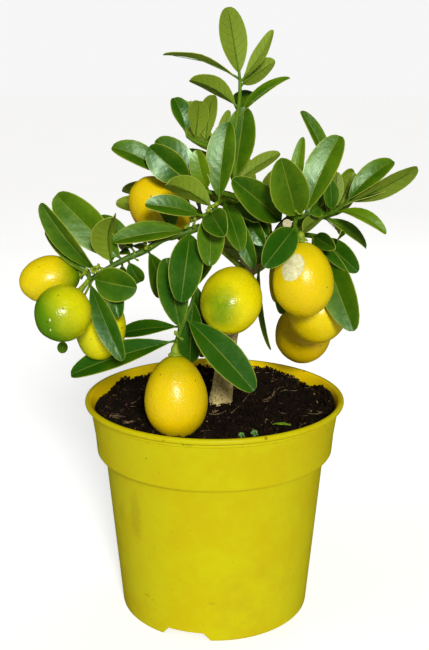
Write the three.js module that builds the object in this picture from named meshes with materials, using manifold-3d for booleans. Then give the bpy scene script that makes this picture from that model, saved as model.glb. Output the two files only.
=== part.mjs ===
// A small lemon tree, trained as a bonsai, in a yellow plastic pot.
// Millimetres, +Z up. The origin is the middle of the pot's foot, on the surface it stands on.
// The viewer that the tree was laid out for stands at -Y, so a larger depth is further back.

import * as THREE from "three";
import { mergeVertices } from "three/addons/utils/BufferGeometryUtils.js";
import Module from "manifold-3d";

const wasm = await Module();
wasm.setup();

// Driving dimensions
const POT_HEIGHT = 148;
const POT_FOOT_RADIUS = 64.4;
const POT_BODY_TOP_RADIUS = 74.4;
const POT_LEDGE_HEIGHT = 111.2;
const POT_BAND_RADIUS = 79.6;
const POT_LIP_RADIUS = 87;
const POT_WALL = 1.8;
const POT_SIDES = 32;
const FLOOR_UNDERSIDE = 6;
const DRAIN_RADIUS = 4.5;
const DRAIN_RING_RADIUS = 38;
const SOIL_LEVEL = 141.5;
const CLEARANCE = 0.3;
const BLADE_THICKNESS = 0.7;
const PETIOLE_LENGTH = 3;
const PETIOLE_RADIUS = 0.8;
const BLADE_FOLD = 14;
const SMALL_BLADE_WIDTH = 20;
const SMALL_FRUIT_LENGTH = 15;
const STALK_RADIUS = 1.3;
const CALYX_RADIUS = 3.2;

// How many sides the round solids have
const WOOD_SIDES = 8;
const TWIG_SIDES = 4;
const STALK_SIDES = 5;
const FRUIT_SIDES = 12;
const SMALL_FRUIT_SIDES = 7;

// The place that the tree is laid out from: points are given as they are seen from it, in a picture
// frame of 429 by 650, with their depth behind the pot's middle in millimetres.
const EYE = new THREE.Vector3(0, -645, 363);
const EYE_PITCH = THREE.MathUtils.degToRad(14.5);
const PICTURE_MIDDLE = [214.5, 325];
const PICTURE_FOCUS = 1002;

function seen(across, down, depth) {
  const right = across - PICTURE_MIDDLE[0];
  const up = PICTURE_MIDDLE[1] - down;
  const ray = new THREE.Vector3(
    right,
    PICTURE_FOCUS * Math.cos(EYE_PITCH) + up * Math.sin(EYE_PITCH),
    up * Math.cos(EYE_PITCH) - PICTURE_FOCUS * Math.sin(EYE_PITCH),
  );
  return ray.multiplyScalar((depth - EYE.y) / ray.y).add(EYE);
}

// Solids

function solidOf(geometry) {
  const bare = new THREE.BufferGeometry();
  bare.setAttribute("position", geometry.getAttribute("position"));
  bare.setIndex(geometry.getIndex());
  const merged = mergeVertices(bare, 1e-4);
  return new wasm.Manifold(
    new wasm.Mesh({
      numProp: 3,
      vertProperties: merged.getAttribute("position").array,
      triVerts: new Uint32Array(merged.getIndex().array),
    }),
  );
}

// A closed skin over rings of points that run anticlockwise about the way from the first ring to the
// last. The sides named in turned are split along their other diagonal.
function skin(rings, turned = []) {
  const sides = rings[0].length;
  const points = rings.flat().flatMap((p) => [p.x, p.y, p.z]);
  const faces = [];
  for (let i = 0; i + 1 < rings.length; i++) {
    for (let j = 0; j < sides; j++) {
      const a = i * sides + j;
      const b = i * sides + ((j + 1) % sides);
      const c = b + sides;
      const d = a + sides;
      faces.push(...(turned.includes(j) ? [a, b, d, b, c, d] : [a, b, c, a, c, d]));
    }
  }
  const last = (rings.length - 1) * sides;
  for (let j = 1; j + 1 < sides; j++) {
    faces.push(0, j + 1, j, last, last + j, last + j + 1);
  }
  const geometry = new THREE.BufferGeometry();
  geometry.setAttribute("position", new THREE.Float32BufferAttribute(points, 3));
  geometry.setIndex(faces);
  return solidOf(geometry);
}

function largestBody(solid) {
  return solid.decompose().reduce((a, b) => (b.volume() > a.volume() ? b : a));
}

function fused(solids) {
  return solids.reduce((a, b) => a.add(b));
}

// A round tube along a curve, with its radius given at each of the curve's points, and extra all over.
function tube(curve, radii, sides, steps, extra = 0) {
  const frames = curve.computeFrenetFrames(steps, false);
  const rings = [];
  for (let i = 0; i <= steps; i++) {
    const share = i / steps;
    const past = i === 0 ? -extra : i === steps ? extra : 0;
    const centre = curve.getPointAt(share).addScaledVector(frames.tangents[i], past);
    const place = share * (radii.length - 1);
    const low = Math.min(Math.floor(place), radii.length - 2);
    const radius = THREE.MathUtils.lerp(radii[low], radii[low + 1], place - low) + extra;
    const ring = [];
    for (let j = 0; j < sides; j++) {
      const angle = (2 * Math.PI * j) / sides;
      ring.push(
        centre
          .clone()
          .addScaledVector(frames.normals[i], radius * Math.cos(angle))
          .addScaledVector(frames.binormals[i], radius * Math.sin(angle)),
      );
    }
    rings.push(ring);
  }
  return skin(rings);
}

function curveThrough(points) {
  return new THREE.CatmullRomCurve3(points, false, "catmullrom", 0.5);
}

// Pot

function potProfile() {
  const under = [
    [0, FLOOR_UNDERSIDE],
    [POT_FOOT_RADIUS - POT_WALL, FLOOR_UNDERSIDE],
    [POT_FOOT_RADIUS - POT_WALL, 0],
  ];
  const body = [
    [POT_FOOT_RADIUS - 0.5, 0],
    [POT_FOOT_RADIUS, 0.8],
    [POT_BODY_TOP_RADIUS, POT_LEDGE_HEIGHT - 0.8],
  ];
  const band = [
    [POT_BAND_RADIUS - 0.9, POT_LEDGE_HEIGHT],
    [POT_BAND_RADIUS, POT_LEDGE_HEIGHT + 1.1],
    [POT_BAND_RADIUS + 1.1, POT_LEDGE_HEIGHT + 13],
    [POT_BAND_RADIUS + 3.6, POT_HEIGHT - 7],
  ];
  const lip = [
    [POT_BAND_RADIUS + 5, POT_HEIGHT - 3.9],
    [POT_LIP_RADIUS - 0.2, POT_HEIGHT - 2.9],
    [POT_LIP_RADIUS, POT_HEIGHT - 1.2],
    [POT_LIP_RADIUS - 1, POT_HEIGHT],
    [POT_LIP_RADIUS - 2.8, POT_HEIGHT],
    [POT_LIP_RADIUS - 4, POT_HEIGHT - 1.6],
  ];
  const inside = [
    [POT_BAND_RADIUS + 3.6 - POT_WALL, POT_HEIGHT - 7],
    [POT_BAND_RADIUS + 1.1 - POT_WALL, POT_LEDGE_HEIGHT + 13],
    [POT_BAND_RADIUS - POT_WALL, POT_LEDGE_HEIGHT + 2.2],
    [POT_BODY_TOP_RADIUS - POT_WALL, POT_LEDGE_HEIGHT + 0.8],
    [POT_FOOT_RADIUS - POT_WALL + 0.3, FLOOR_UNDERSIDE + POT_WALL + 1.6],
    [POT_FOOT_RADIUS - POT_WALL - 1, FLOOR_UNDERSIDE + POT_WALL],
    [0, FLOOR_UNDERSIDE + POT_WALL],
  ];
  return [...under, ...body, ...band, ...lip, ...inside].map(([r, z]) => new THREE.Vector2(r, z));
}

// A lathed solid about +Z from a closed profile of radius and height.
function lathed(profile, sides) {
  const closed = [...profile, profile[0].clone()];
  const geometry = new THREE.LatheGeometry(closed, sides);
  return solidOf(geometry.rotateX(Math.PI / 2));
}

// The gaps in the foot let water out: three, each wider at the bottom than at the top.
function footGaps() {
  const middles = [-17, 103, 223];
  return middles.map((middle) => {
    const bottom = Math.tan(THREE.MathUtils.degToRad(15.2)) * POT_FOOT_RADIUS;
    const top = Math.tan(THREE.MathUtils.degToRad(10.6)) * POT_FOOT_RADIUS;
    const outline = new THREE.Shape([
      new THREE.Vector2(-bottom, -1),
      new THREE.Vector2(bottom, -1),
      new THREE.Vector2(top, FLOOR_UNDERSIDE - 0.4),
      new THREE.Vector2(-top, FLOOR_UNDERSIDE - 0.4),
    ]);
    const wedge = new THREE.ExtrudeGeometry(outline, { depth: 24, bevelEnabled: false });
    wedge.rotateX(Math.PI / 2);
    wedge.translate(0, -POT_FOOT_RADIUS + 16, 0);
    wedge.rotateZ(THREE.MathUtils.degToRad(middle));
    return solidOf(wedge);
  });
}

function drains() {
  const places = [[0, 0]];
  for (let i = 0; i < 6; i++) {
    const angle = (i * Math.PI) / 3;
    places.push([DRAIN_RING_RADIUS * Math.cos(angle), DRAIN_RING_RADIUS * Math.sin(angle)]);
  }
  return places.map(([x, y]) => {
    const hole = new THREE.CylinderGeometry(DRAIN_RADIUS, DRAIN_RADIUS, 8, 8);
    return solidOf(hole.rotateX(Math.PI / 2).translate(x, y, FLOOR_UNDERSIDE + 1));
  });
}

function makePot() {
  const body = lathed(potProfile(), POT_SIDES);
  return [...footGaps(), ...drains()].reduce((pot, cut) => pot.subtract(cut), body);
}

// Soil

// Heaps and dips along the pot's wall: the angle from +X and the width in degrees, and the height.
const SOIL_HEAPS = [
  [6, 17, 5.5],
  [28, 6, -3.2],
  [60, 11, 4.6],
  [100, 14, 2],
  [146, 6, 3.6],
  [163, 9, -1.4],
  [186, 12, 1.2],
];

function soilHeight(x, y) {
  const waves =
    1.3 * Math.sin(x / 8 + 1) * Math.cos(y / 9 - 0.6) + 0.8 * Math.sin((x + y) / 5.2 + 2);
  const mound = 2.2 * Math.exp(-(((x - 38) / 22) ** 2 + ((y - 30) / 20) ** 2));
  const angle = THREE.MathUtils.euclideanModulo(THREE.MathUtils.radToDeg(Math.atan2(y, x)), 360);
  const heaps = SOIL_HEAPS.map(([at, wide, high]) => {
    const apart = THREE.MathUtils.euclideanModulo(angle - at + 180, 360) - 180;
    return high * Math.exp(-((apart / wide) ** 2));
  }).reduce((sum, high) => sum + high);
  const edge = THREE.MathUtils.clamp((Math.hypot(x, y) - 62) / 17, 0, 1) ** 1.5;
  return SOIL_LEVEL + waves * (1 - 0.6 * edge) + mound * (1 - edge) + edge * (heaps - 1);
}

function makeSoil() {
  const gap = POT_WALL + CLEARANCE;
  const wall = [
    [0.6, FLOOR_UNDERSIDE + gap],
    [POT_FOOT_RADIUS - gap - 1.2, FLOOR_UNDERSIDE + gap],
    [POT_FOOT_RADIUS - gap, FLOOR_UNDERSIDE + gap + 1.8],
    [POT_BODY_TOP_RADIUS - gap - 0.1, POT_LEDGE_HEIGHT + 1.2],
    [POT_BAND_RADIUS - gap - 0.2, POT_LEDGE_HEIGHT + 2.8],
    [POT_BAND_RADIUS + 1.1 - gap - 0.1, POT_LEDGE_HEIGHT + 13],
  ];
  const surface = [80.6, 70, 56, 40, 22, 1];
  const ringAt = (radius, height) =>
    Array.from({ length: POT_SIDES }, (_, i) => {
      const angle = (2 * Math.PI * i) / POT_SIDES;
      const x = radius * Math.cos(angle);
      const y = radius * Math.sin(angle);
      return new THREE.Vector3(x, y, height ?? soilHeight(x, y));
    });
  return skin([...wall.map(([r, z]) => ringAt(r, z)), ...surface.map((r) => ringAt(r))]);
}

// Wood: the trunk and its limbs, as rows of across, down, depth and radius.
const WOOD = {
  trunk: [
    [220, 452, 0, 6.4],
    [220, 408, 0, 8.3],
    [223, 385, 0, 7.3],
    [227, 350, 0, 6.2],
    [233, 318, 2, 5.8],
    [241, 288, 4, 5.4],
    [247, 262, 4, 5.0],
    [247, 238, 2, 4.2],
    [243, 216, 0, 3.2],
  ],
  cutLimb: [
    [250, 268, 4, 3.8],
    [266, 247, -4, 3.5],
    [279, 233, -18, 3.2],
    [287, 224, -37, 3.0],
  ],
  leftLimb: [
    [249, 250, 3, 3.4],
    [234, 236, -8, 3.1],
    [215, 228, -20, 2.7],
    [201, 227, -29, 2.5],
  ],
  rightLimb: [
    [250, 258, 4, 3.4],
    [268, 241, 14, 3.0],
    [284, 230, 14, 2.6],
    [297, 224, 7, 2.3],
  ],
  backLeftLimb: [
    [248, 244, 3, 3.4],
    [233, 229, 14, 2.9],
    [216, 219, 27, 2.4],
  ],
  backLimb: [
    [250, 252, 4, 3.6],
    [254, 238, 20, 3.0],
    [258, 228, 36, 2.4],
  ],
  backLowLimb: [
    [247, 284, 4, 3.6],
    [252, 270, 18, 2.8],
    [258, 262, 32, 2.3],
  ],
};

function makeWood(extra = 0) {
  return fused(
    Object.values(WOOD).map((rows) => {
      const curve = curveThrough(rows.map(([across, down, depth]) => seen(across, down, depth)));
      const radii = rows.map((row) => row[3]);
      return tube(curve, radii, WOOD_SIDES, Math.ceil(1.5 * (rows.length - 1)), extra);
    }),
  );
}

// Fruit: where its middle is seen, its depth, its length and width, the way from its stalk to its
// blossom end as [x, y, z], and how much wider it is towards the blossom end.
const FRUIT = {
  fruit_front: { at: [176, 396.4, -52], size: [53, 40.5], way: [0.02, -0.1, -1], pear: 0.13 },
  fruit_centre: { at: [231.5, 300, -37], size: [46, 39.8], way: [-0.25, -0.75, -0.6], pear: 0.04 },
  fruit_scarred: { at: [303, 279, -48], size: [46.5, 38.6], way: [0.06, -0.14, -1], pear: 0.1 },
  fruit_right_behind: { at: [317, 312.5, -15], size: [40, 40], way: [0.1, -0.3, -1], pear: 0.03 },
  fruit_right_low: { at: [303, 333, 28], size: [43, 40], way: [-0.1, 0.1, -1], pear: 0.05 },
  fruit_far_left: { at: [50, 279, -40], size: [38, 29.5], way: [-1, -0.05, -0.2], pear: 0.06 },
  fruit_left_green: { at: [63, 313, -66], size: [36, 35], way: [-0.3, -0.8, -0.35], pear: 0.02 },
  fruit_left_low: { at: [101, 327, -38], size: [42, 32.5], way: [-0.12, -0.1, -1], pear: 0.06 },
  fruit_upper_left: { at: [160, 209, -6], size: [46, 36.5], way: [-0.62, -0.1, 0.75], pear: 0.04 },
  fruit_young: { at: [62.5, 347.5, -30], size: [7.5, 6.8], way: [-0.1, -0.1, -1], pear: 0 },
};

// Half the width of a fruit at a share of its length from stalk end to blossom end.
function fruitRadius(share, width, pear) {
  const s = 2 * share - 1;
  const nipple = 0.05 * Math.exp(-(((share - 1) / 0.035) ** 2));
  return (width / 2) * (Math.sqrt(Math.max(0, 1 - s * s)) * (1 + pear * s) + nipple);
}

function fruitFrame({ at, size, way }) {
  const axis = new THREE.Vector3(...way).normalize();
  const middle = seen(...at);
  return { axis, stalkEnd: middle.clone().addScaledVector(axis, -size[0] / 2) };
}

function makeFruit(fruit, extra = 0) {
  const [length, width] = fruit.size;
  const { axis, stalkEnd } = fruitFrame(fruit);
  const side = new THREE.Vector3(1, 0.2, 0.1).cross(axis).normalize();
  const other = axis.clone().cross(side);
  const sides = length < SMALL_FRUIT_LENGTH ? SMALL_FRUIT_SIDES : FRUIT_SIDES;
  const shares = [0.004, 0.08, 0.26, 0.5, 0.74, 0.93, 1];
  const rings = shares.map((share) => {
    const radius = fruitRadius(share, width, fruit.pear) + extra;
    const along = length * share + extra * (2 * share - 1);
    return Array.from({ length: sides }, (_, j) => {
      const angle = (2 * Math.PI * j) / sides;
      return stalkEnd
        .clone()
        .addScaledVector(axis, along)
        .addScaledVector(side, radius * Math.cos(angle))
        .addScaledVector(other, radius * Math.sin(angle));
    });
  });
  return skin(rings);
}

// Leaves

// Half the width of a blade at a share of its length, as a share of half its width. It ends bluntly, and
// a broad blade is blunter at its foot than a slim one. The slimness is its width over its length, and
// the lower an end's power, the blunter it is.
const BLADE_TIP_POWER = 0.44;
const BROAD_FOOT_POWER = 0.58;
const SLIM_FOOT_POWER = 0.84;

function bladeShape(share, slimness) {
  const foot = THREE.MathUtils.clamp(1.25 - 1.45 * slimness, BROAD_FOOT_POWER, SLIM_FOOT_POWER);
  return Math.sin(Math.PI * share ** 1.16) ** THREE.MathUtils.lerp(foot, BLADE_TIP_POWER, share);
}

// The shares of its length at which a blade has a ring of points. A small or far blade has no ring of
// its own where the petiole ends, so it widens straight from its foot.
const BLADE_SHARES = [0, 0.3, 0.74, 1];
const FAR_BLADE_SHARES = [0.35, 0.8, 1];

// A leaf from its foot to its tip. Its upper face looks along up, it arches that way at the middle by
// arch, and its two halves rise from the rib by fold.
function makeLeaf({ foot, tip, up, width, arch, fold = BLADE_FOLD, shares = BLADE_SHARES }) {
  const chord = tip.clone().sub(foot);
  const length = chord.length();
  const along = chord.divideScalar(length);
  const top = up.clone().addScaledVector(along, -up.dot(along)).normalize();
  const side = along.clone().cross(top);
  const petiole = Math.min(PETIOLE_LENGTH / length, 0.2);
  const places = [0, ...shares.map((share) => petiole + (1 - petiole) * share)];
  const rings = places.map((place, i) => {
    const share = i ? shares[i - 1] : 0;
    const half = Math.max((width / 2) * bladeShape(share, width / length), PETIOLE_RADIUS);
    const thick = share ? BLADE_THICKNESS / 2 : PETIOLE_RADIUS;
    const slope = (4 * arch * (1 - 2 * place)) / length;
    const normal = top.clone().addScaledVector(along, -slope).normalize();
    const rib = foot
      .clone()
      .addScaledVector(along, length * place)
      .addScaledVector(top, 4 * arch * place * (1 - place));
    const angle = THREE.MathUtils.degToRad(half > PETIOLE_RADIUS ? fold : 0);
    const edge = (sign) =>
      rib
        .clone()
        .addScaledVector(side, sign * half * Math.cos(angle))
        .addScaledVector(normal, half * Math.sin(angle));
    const lifted = (point, sign) => point.clone().addScaledVector(normal, sign * thick);
    return [
      lifted(rib, 1),
      lifted(edge(1), 1),
      lifted(edge(1), -1),
      lifted(rib, -1),
      lifted(edge(-1), -1),
      lifted(edge(-1), 1),
    ];
  });
  return skin(rings, [2, 5]);
}

// The upper face of a leaf as it is seen: 0 faces the viewer, 180 shows the underside, and a turn
// about the way from foot to tip goes clockwise for the viewer's eye when the leaf points up.
function upFor(foot, tip, turn) {
  const along = tip.clone().sub(foot).normalize();
  const toEye = EYE.clone().sub(foot).normalize();
  toEye.addScaledVector(along, -toEye.dot(along)).normalize();
  return toEye.applyAxisAngle(along, THREE.MathUtils.degToRad(turn));
}

// Shoots as they are seen, each a stem and its twigs. A stem's rows are across, down, depth and radius.
// A leaf's row is its place along the stem, counted in stem rows from 0, then where its tip is seen,
// the tip's depth, its width, its turn and its arch. A stalk's row is a place along the stem, and the
// fruit it carries. The number of far leaves is how many more follow a rule on the stem's far side.
const SHOOTS = {
  crown: [
    {
      stem: [
        [245, 223, 0, 2.7],
        [237, 193, -2, 2.1],
        [234, 160, -4, 1.8],
        [235, 130, -5, 1.5],
        [239, 105, -6, 1.35],
        [240, 86, -6, 1.2],
        [239, 70, -7, 0.9],
      ],
      leaves: [
        [5.5, 228, 7, -14, 18.5, 175, 2],
        [5.2, 273, 30, -4, 10.5, -150, -3],
        [5, 275, 61, 14, 14.5, -158, 1],
        [4.9, 254, 77, 26, 9, -100, 1],
        [3.4, 290, 78, 2, 14, -62, 3],
        [5.4, 163, 55, -2, 13, 98, 4],
        [3.85, 190, 80, -16, 15.5, 138, 5],
        [1.4, 245, 107, -4, 22, -8, 2],
        [1.3, 280, 153, 2, 12, -150, 3],
      ],
      far: 2,
    },
    {
      stem: [
        [233, 168, -5, 1.7],
        [222, 158, -10, 1.6],
        [210, 148, -16, 1.5],
        [196, 142, -20, 1.4],
        [187, 136, -22, 1.1],
      ],
      leaves: [
        [4, 174, 98, -16, 14, 24, 3],
        [3.1, 199, 101, -34, 14, 172, 2],
        [2.3, 213, 95, -30, 13, -160, 3],
        [1.4, 229, 110, -8, 8, 190, 2],
        [3.2, 190, 101, -8, 12, 160, 2],
      ],
    },
    {
      stem: [
        [239, 199, -2, 1.7],
        [224, 194, -14, 1.6],
        [209, 192, -20, 1.5],
        [190, 183, -21, 1.3],
        [166, 176, -14, 1.0],
      ],
      leaves: [
        [3.9, 112, 147, -14, 19, 36, 4],
        [2.9, 149, 147, -24, 22.5, -10, 4],
        [2.4, 157, 139, -14, 20, 24, 3],
        [2, 197, 150, -22, 14.5, -20, 3],
      ],
      far: 2,
    },
    {
      stem: [
        [245, 209, -2, 1.7],
        [232, 203, -14, 1.6],
        [219, 202, -27, 1.6],
        [213, 211, -33, 1.5],
        [202, 216, -37, 1.2],
      ],
      leaves: [
        [2, 228, 122, -18, 21, -20, 3],
        [2.8, 167, 184, -48, 18, 148, 5],
        [4, 145, 205, -48, 16, 34, 3],
        [3.2, 225, 236, -66, 18, 4, 3],
        [1.6, 241, 251, -50, 15.5, -12, 3],
        [1.4, 254, 268, -34, 13, 0, 3],
        [3.3, 210, 266, -56, 18.5, -4, 4],
        [0.6, 264, 245, -26, 14, 10, 3],
        [0.9, 258, 222, -34, 12, -20, 3],
        [0.3, 268, 236, -18, 15, 12, 3],
        [0.2, 259, 264, -10, 15, -8, 3],
      ],
    },
    {
      stem: [
        [236, 180, -3, 2.1],
        [228, 168, 12, 1.8],
        [219, 158, 24, 1.5],
        [211, 149, 32, 1.1],
      ],
      spiral: 5,
    },
  ],
  left_branch: [
    {
      stem: [
        [200, 227, -30, 2.4],
        [181, 234, -34, 2.3],
        [163, 239, -37, 2.2],
        [146, 250, -39, 2.1],
        [130, 257, -41, 2.0],
        [116, 264, -43, 1.8],
        [102, 272, -46, 1.6],
        [89, 280, -47, 1.2],
      ],
      leaves: [
        [0.5, 181, 302, -56, 23, 14, 5],
        [0.6, 113, 242, -46, 18, 40, 3],
        [2.9, 162, 295, -12, 17.5, -20, 3],
        [6.2, 41, 203, -56, 17.5, -42, 3],
        [4.5, 56, 195, -30, 26, -6, 3],
        [5.2, 113, 217, -62, 23, 224, 5],
        [6.8, 46, 230, -36, 12, 8, 2],
        [6.8, 137, 288, -60, 23, 10, 2],
        [7, 123, 361, -71, 15, 10, 5],
        [5.5, 119, 318, -58, 12, 0, 2],
        [3.6, 100, 216, -28, 12, 30, 3],
        [3.8, 117, 256, -22, 9, 60, 2],
        [4.2, 140, 282, -36, 12, 10, 2],
        [4.6, 129, 281, -31, 10, 30, 2],
      ],
      stalks: [
        [0.9, "fruit_upper_left"],
        [6.9, "fruit_far_left"],
        [7, "fruit_left_green"],
        [6.3, "fruit_left_low"],
        [6.6, "fruit_young"],
      ],
      far: 3,
    },
  ],
  low_front_shoot: [
    {
      stem: [
        [212, 231, -20, 1.6],
        [203, 247, -19, 1.4],
        [196, 275, -22, 1.3],
        [193, 300, -32, 1.3],
        [181, 329, -44, 1.4],
        [176, 343, -50, 1.5],
      ],
      leaves: [
        [4.1, 166, 258, -36, 21, -8, 3],
        [3.9, 120, 334, -14, 13, 28, 3],
        [4.8, 71, 375, -34, 20, 28, 4],
        [3.6, 254, 391, -66, 23, -14, 4],
        [2.9, 190, 362, -30, 19, 10, 2],
        [2.2, 203, 357, -20, 17, -20, 2],
      ],
      stalks: [
        [0.5, "fruit_centre"],
        [5, "fruit_front"],
      ],
      far: 1,
    },
  ],
  right_front_shoot: [
    {
      stem: [
        [273, 239, -10, 2.0],
        [280, 226, -15, 1.9],
        [288, 219, -24, 1.9],
        [297, 218, -34, 1.8],
        [305, 215, -36, 1.4],
      ],
      leaves: [
        [1.4, 232, 179, -54, 22, 10, 3],
        [3, 281, 158, -62, 25.5, 0, 3],
        [4, 340, 136, -24, 23, -22, 4],
        [1.2, 282, 314, -8, 15, -10, 3],
        [4, 318, 206, -26, 12, 20, 2],
        [2.3, 303, 137, -12, 10, -20, 2],
      ],
      far: 1,
    },
    {
      stem: [
        [296, 218, -33, 1.5],
        [295, 226, -37, 1.4],
        [299, 235, -42, 1.3],
      ],
      leaves: [[1.1, 264, 267, -64, 20.5, 0, 3]],
      stalks: [[2, "fruit_scarred"]],
    },
  ],
  right_shoot: [
    {
      stem: [
        [296, 224, 6, 2.0],
        [310, 221, -6, 1.8],
        [325, 216, -17, 1.7],
        [335, 211, -21, 1.5],
        [345, 204, -23, 1.1],
      ],
      leaves: [
        [4, 393, 161, -12, 16, -26, 5],
        [4, 418, 168, -42, 14, 158, 4],
        [3.2, 399, 189, -24, 15, -62, 3],
        [3.2, 353, 172, -4, 16, 165, 2],
        [2.8, 386, 234, -36, 12, -48, 6],
        [1.8, 366, 248, -8, 13, -50, 3],
        [2.6, 330, 180, -24, 11, 10, 2],
        [2.9, 337, 172, -12, 10, 170, 2],
        [2.3, 303, 230, -42, 11, 150, 2],
      ],
      far: 2,
    },
    {
      stem: [
        [322, 217, -15, 1.5],
        [328, 198, -4, 1.4],
        [331, 178, 4, 1.2],
      ],
      leaves: [[2, 301, 111, 8, 14, 48, 3]],
    },
  ],
  right_low_shoot: [
    {
      stem: [
        [283, 232, 14, 1.9],
        [298, 234, 7, 1.8],
        [314, 236, -3, 1.7],
        [328, 239, -11, 1.5],
        [335, 243, -14, 1.0],
      ],
      leaves: [
        [2.3, 354, 331, -44, 24.5, 8, 3],
        [0.6, 264, 247, 14, 14, 10, 3],
        [2.2, 358, 272, -30, 16.5, -10, 3],
        [2, 335, 249, -34, 12, 0, 2],
        [3.9, 341, 231, -26, 8, 80, 1],
        [0.1, 277, 303, 0, 18, -10, 3],
      ],
      stalks: [
        [2, "fruit_right_behind"],
        [1, "fruit_right_low"],
      ],
    },
  ],
};

// Shoots at the back. Their leaves follow a rule, but for one that hangs or reaches into view.
const BACK_SHOOTS = {
  back_left_shoot: {
    stem: [
      [217, 219, 26, 2.2],
      [205, 217, 34, 1.9],
      [194, 212, 40, 1.6],
      [185, 205, 43, 1.1],
    ],
    leaves: [[2.4, 116, 203, 22, 15, 165, 2]],
    spiral: 6,
  },
  back_shoot: {
    stem: [
      [258, 229, 35, 2.2],
      [257, 217, 44, 1.9],
      [253, 206, 50, 1.6],
      [249, 196, 53, 1.1],
    ],
    spiral: 6,
  },
  back_right_shoot: {
    stem: [
      [285, 230, 14, 2.2],
      [301, 220, 24, 1.9],
      [315, 211, 31, 1.6],
      [327, 202, 35, 1.1],
    ],
    spiral: 6,
  },
  back_low_shoot: {
    stem: [
      [258, 262, 31, 2.1],
      [260, 258, 40, 1.8],
      [261, 255, 46, 1.5],
      [262, 251, 51, 1.1],
    ],
    leaves: [[0.5, 271, 350, 18, 10, 62, 3]],
    spiral: 5,
  },
};

const GOLDEN_ANGLE = THREE.MathUtils.degToRad(137.5);

function seededRandom(seed) {
  let state = seed;
  return () => {
    state = (state * 16807) % 2147483647;
    return state / 2147483647;
  };
}

// Leaves set round a stem in a spiral, each leaning out from it.
function spiralLeaves(curve, count, random) {
  return Array.from({ length: count }, (_, i) => {
    const share = 0.3 + (0.7 * i) / (count - 1);
    const foot = curve.getPointAt(share);
    const along = curve.getTangentAt(share);
    const out = new THREE.Vector3(0, 0, 1).cross(along).normalize();
    out.applyAxisAngle(along, i * GOLDEN_ANGLE + 0.4 * random());
    const lean = THREE.MathUtils.degToRad(66 - 40 * share + 10 * random());
    const way = along.clone().multiplyScalar(Math.cos(lean)).addScaledVector(out, Math.sin(lean));
    return makeLeaf({
      foot,
      tip: foot.clone().addScaledVector(way, 38 + 8 * random()),
      up: along,
      width: 17 + 4 * random(),
      arch: 3 + 2 * random(),
      shares: FAR_BLADE_SHARES,
    });
  });
}

// Leaves on the far side of a stem, turned up and down by turns.
function farLeaves(curve, count, random) {
  return Array.from({ length: count }, (_, i) => {
    const share = 0.12 + (0.8 * (i + 0.5)) / count;
    const foot = curve.getPointAt(share);
    const rise = (i % 2 ? -0.15 : 0.75) + 0.3 * random();
    const way = new THREE.Vector3(0.5 * random() - 0.25, 1, rise).normalize();
    way.addScaledVector(curve.getTangentAt(share), 0.45).normalize();
    return makeLeaf({
      foot,
      tip: foot.clone().addScaledVector(way, 34 + 8 * random()),
      up: new THREE.Vector3(0.3 * random(), 0.2, 1),
      width: 16 + 4 * random(),
      arch: 2 + 2 * random(),
      shares: FAR_BLADE_SHARES,
    });
  });
}

// A stalk from the stem to the top of its fruit, ending in the small cup of the calyx.
function makeStalk(from, fruit) {
  const { axis, stalkEnd } = fruitFrame(fruit);
  const small = fruit.size[0] < SMALL_FRUIT_LENGTH;
  const seat = stalkEnd.clone().addScaledVector(axis, small ? 0.2 : 0.5);
  const before = stalkEnd.clone().addScaledVector(axis, -4);
  const curve = curveThrough([from, from.clone().lerp(before, 0.5), before, seat]);
  const radii = small ? [0.9, 0.8, 0.8, 1.1] : [STALK_RADIUS, 1.4, 1.5, CALYX_RADIUS];
  return tube(curve, radii, STALK_SIDES, radii.length);
}

function seedOf(name) {
  return [...name].reduce((sum, letter) => (sum * 31 + letter.charCodeAt(0)) % 99991, 7);
}

function makeTwig({ stem, leaves = [], stalks = [], far = 0, spiral = 0 }, random) {
  const curve = curveThrough(stem.map(([across, down, depth]) => seen(across, down, depth)));
  const last = stem.length - 1;
  const radii = stem.map((row) => row[3]);
  const seenLeaves = leaves.map(([place, across, down, depth, width, turn, arch]) => {
    const foot = curve.getPoint(place / last);
    const tip = seen(across, down, depth);
    const shares = width < SMALL_BLADE_WIDTH ? FAR_BLADE_SHARES : BLADE_SHARES;
    return makeLeaf({ foot, tip, up: upFor(foot, tip, turn), width, arch, shares });
  });
  const fruitStalks = stalks.map(([place, fruit]) =>
    makeStalk(curve.getPoint(place / last), FRUIT[fruit]),
  );
  return fused([
    tube(curve, radii, TWIG_SIDES, last),
    ...seenLeaves,
    ...fruitStalks,
    ...farLeaves(curve, far, random),
    ...spiralLeaves(curve, spiral, random),
  ]);
}

function makeShoot(name, twigs) {
  const random = seededRandom(seedOf(name));
  return fused(twigs.map((twig) => makeTwig(twig, random)));
}

// Seedlings that came up in the soil, and a grass blade that lies on it.

function makeSeedling(x, y, spread) {
  const ground = new THREE.Vector3(x, y, soilHeight(x, y));
  const crown = ground.clone().add(new THREE.Vector3(0, 0, 2.6));
  const root = ground.clone().add(new THREE.Vector3(0, 0, -2.5));
  const stem = tube(curveThrough([root, ground, crown]), [0.6, 0.6, 0.6], 4, 1);
  const leaves = [20, 200].map((degrees) => {
    const angle = THREE.MathUtils.degToRad(degrees);
    const way = new THREE.Vector3(Math.cos(angle), Math.sin(angle), 0.45);
    return makeLeaf({
      foot: crown.clone().add(new THREE.Vector3(0, 0, -0.4)),
      tip: crown.clone().addScaledVector(way, spread),
      up: new THREE.Vector3(0, 0, 1),
      width: 2.8,
      arch: 0.3,
      fold: 0,
      shares: [0, 0.6, 1],
    });
  });
  return fused([stem, ...leaves]);
}

function makeGrassBlade() {
  return makeLeaf({
    foot: new THREE.Vector3(34, -46, soilHeight(34, -46) + 1.6),
    tip: new THREE.Vector3(48, -51, soilHeight(48, -51) + 1.8),
    up: new THREE.Vector3(0, 0, 1),
    width: 2.6,
    arch: 1.2,
    fold: 6,
  });
}

// Materials

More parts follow.
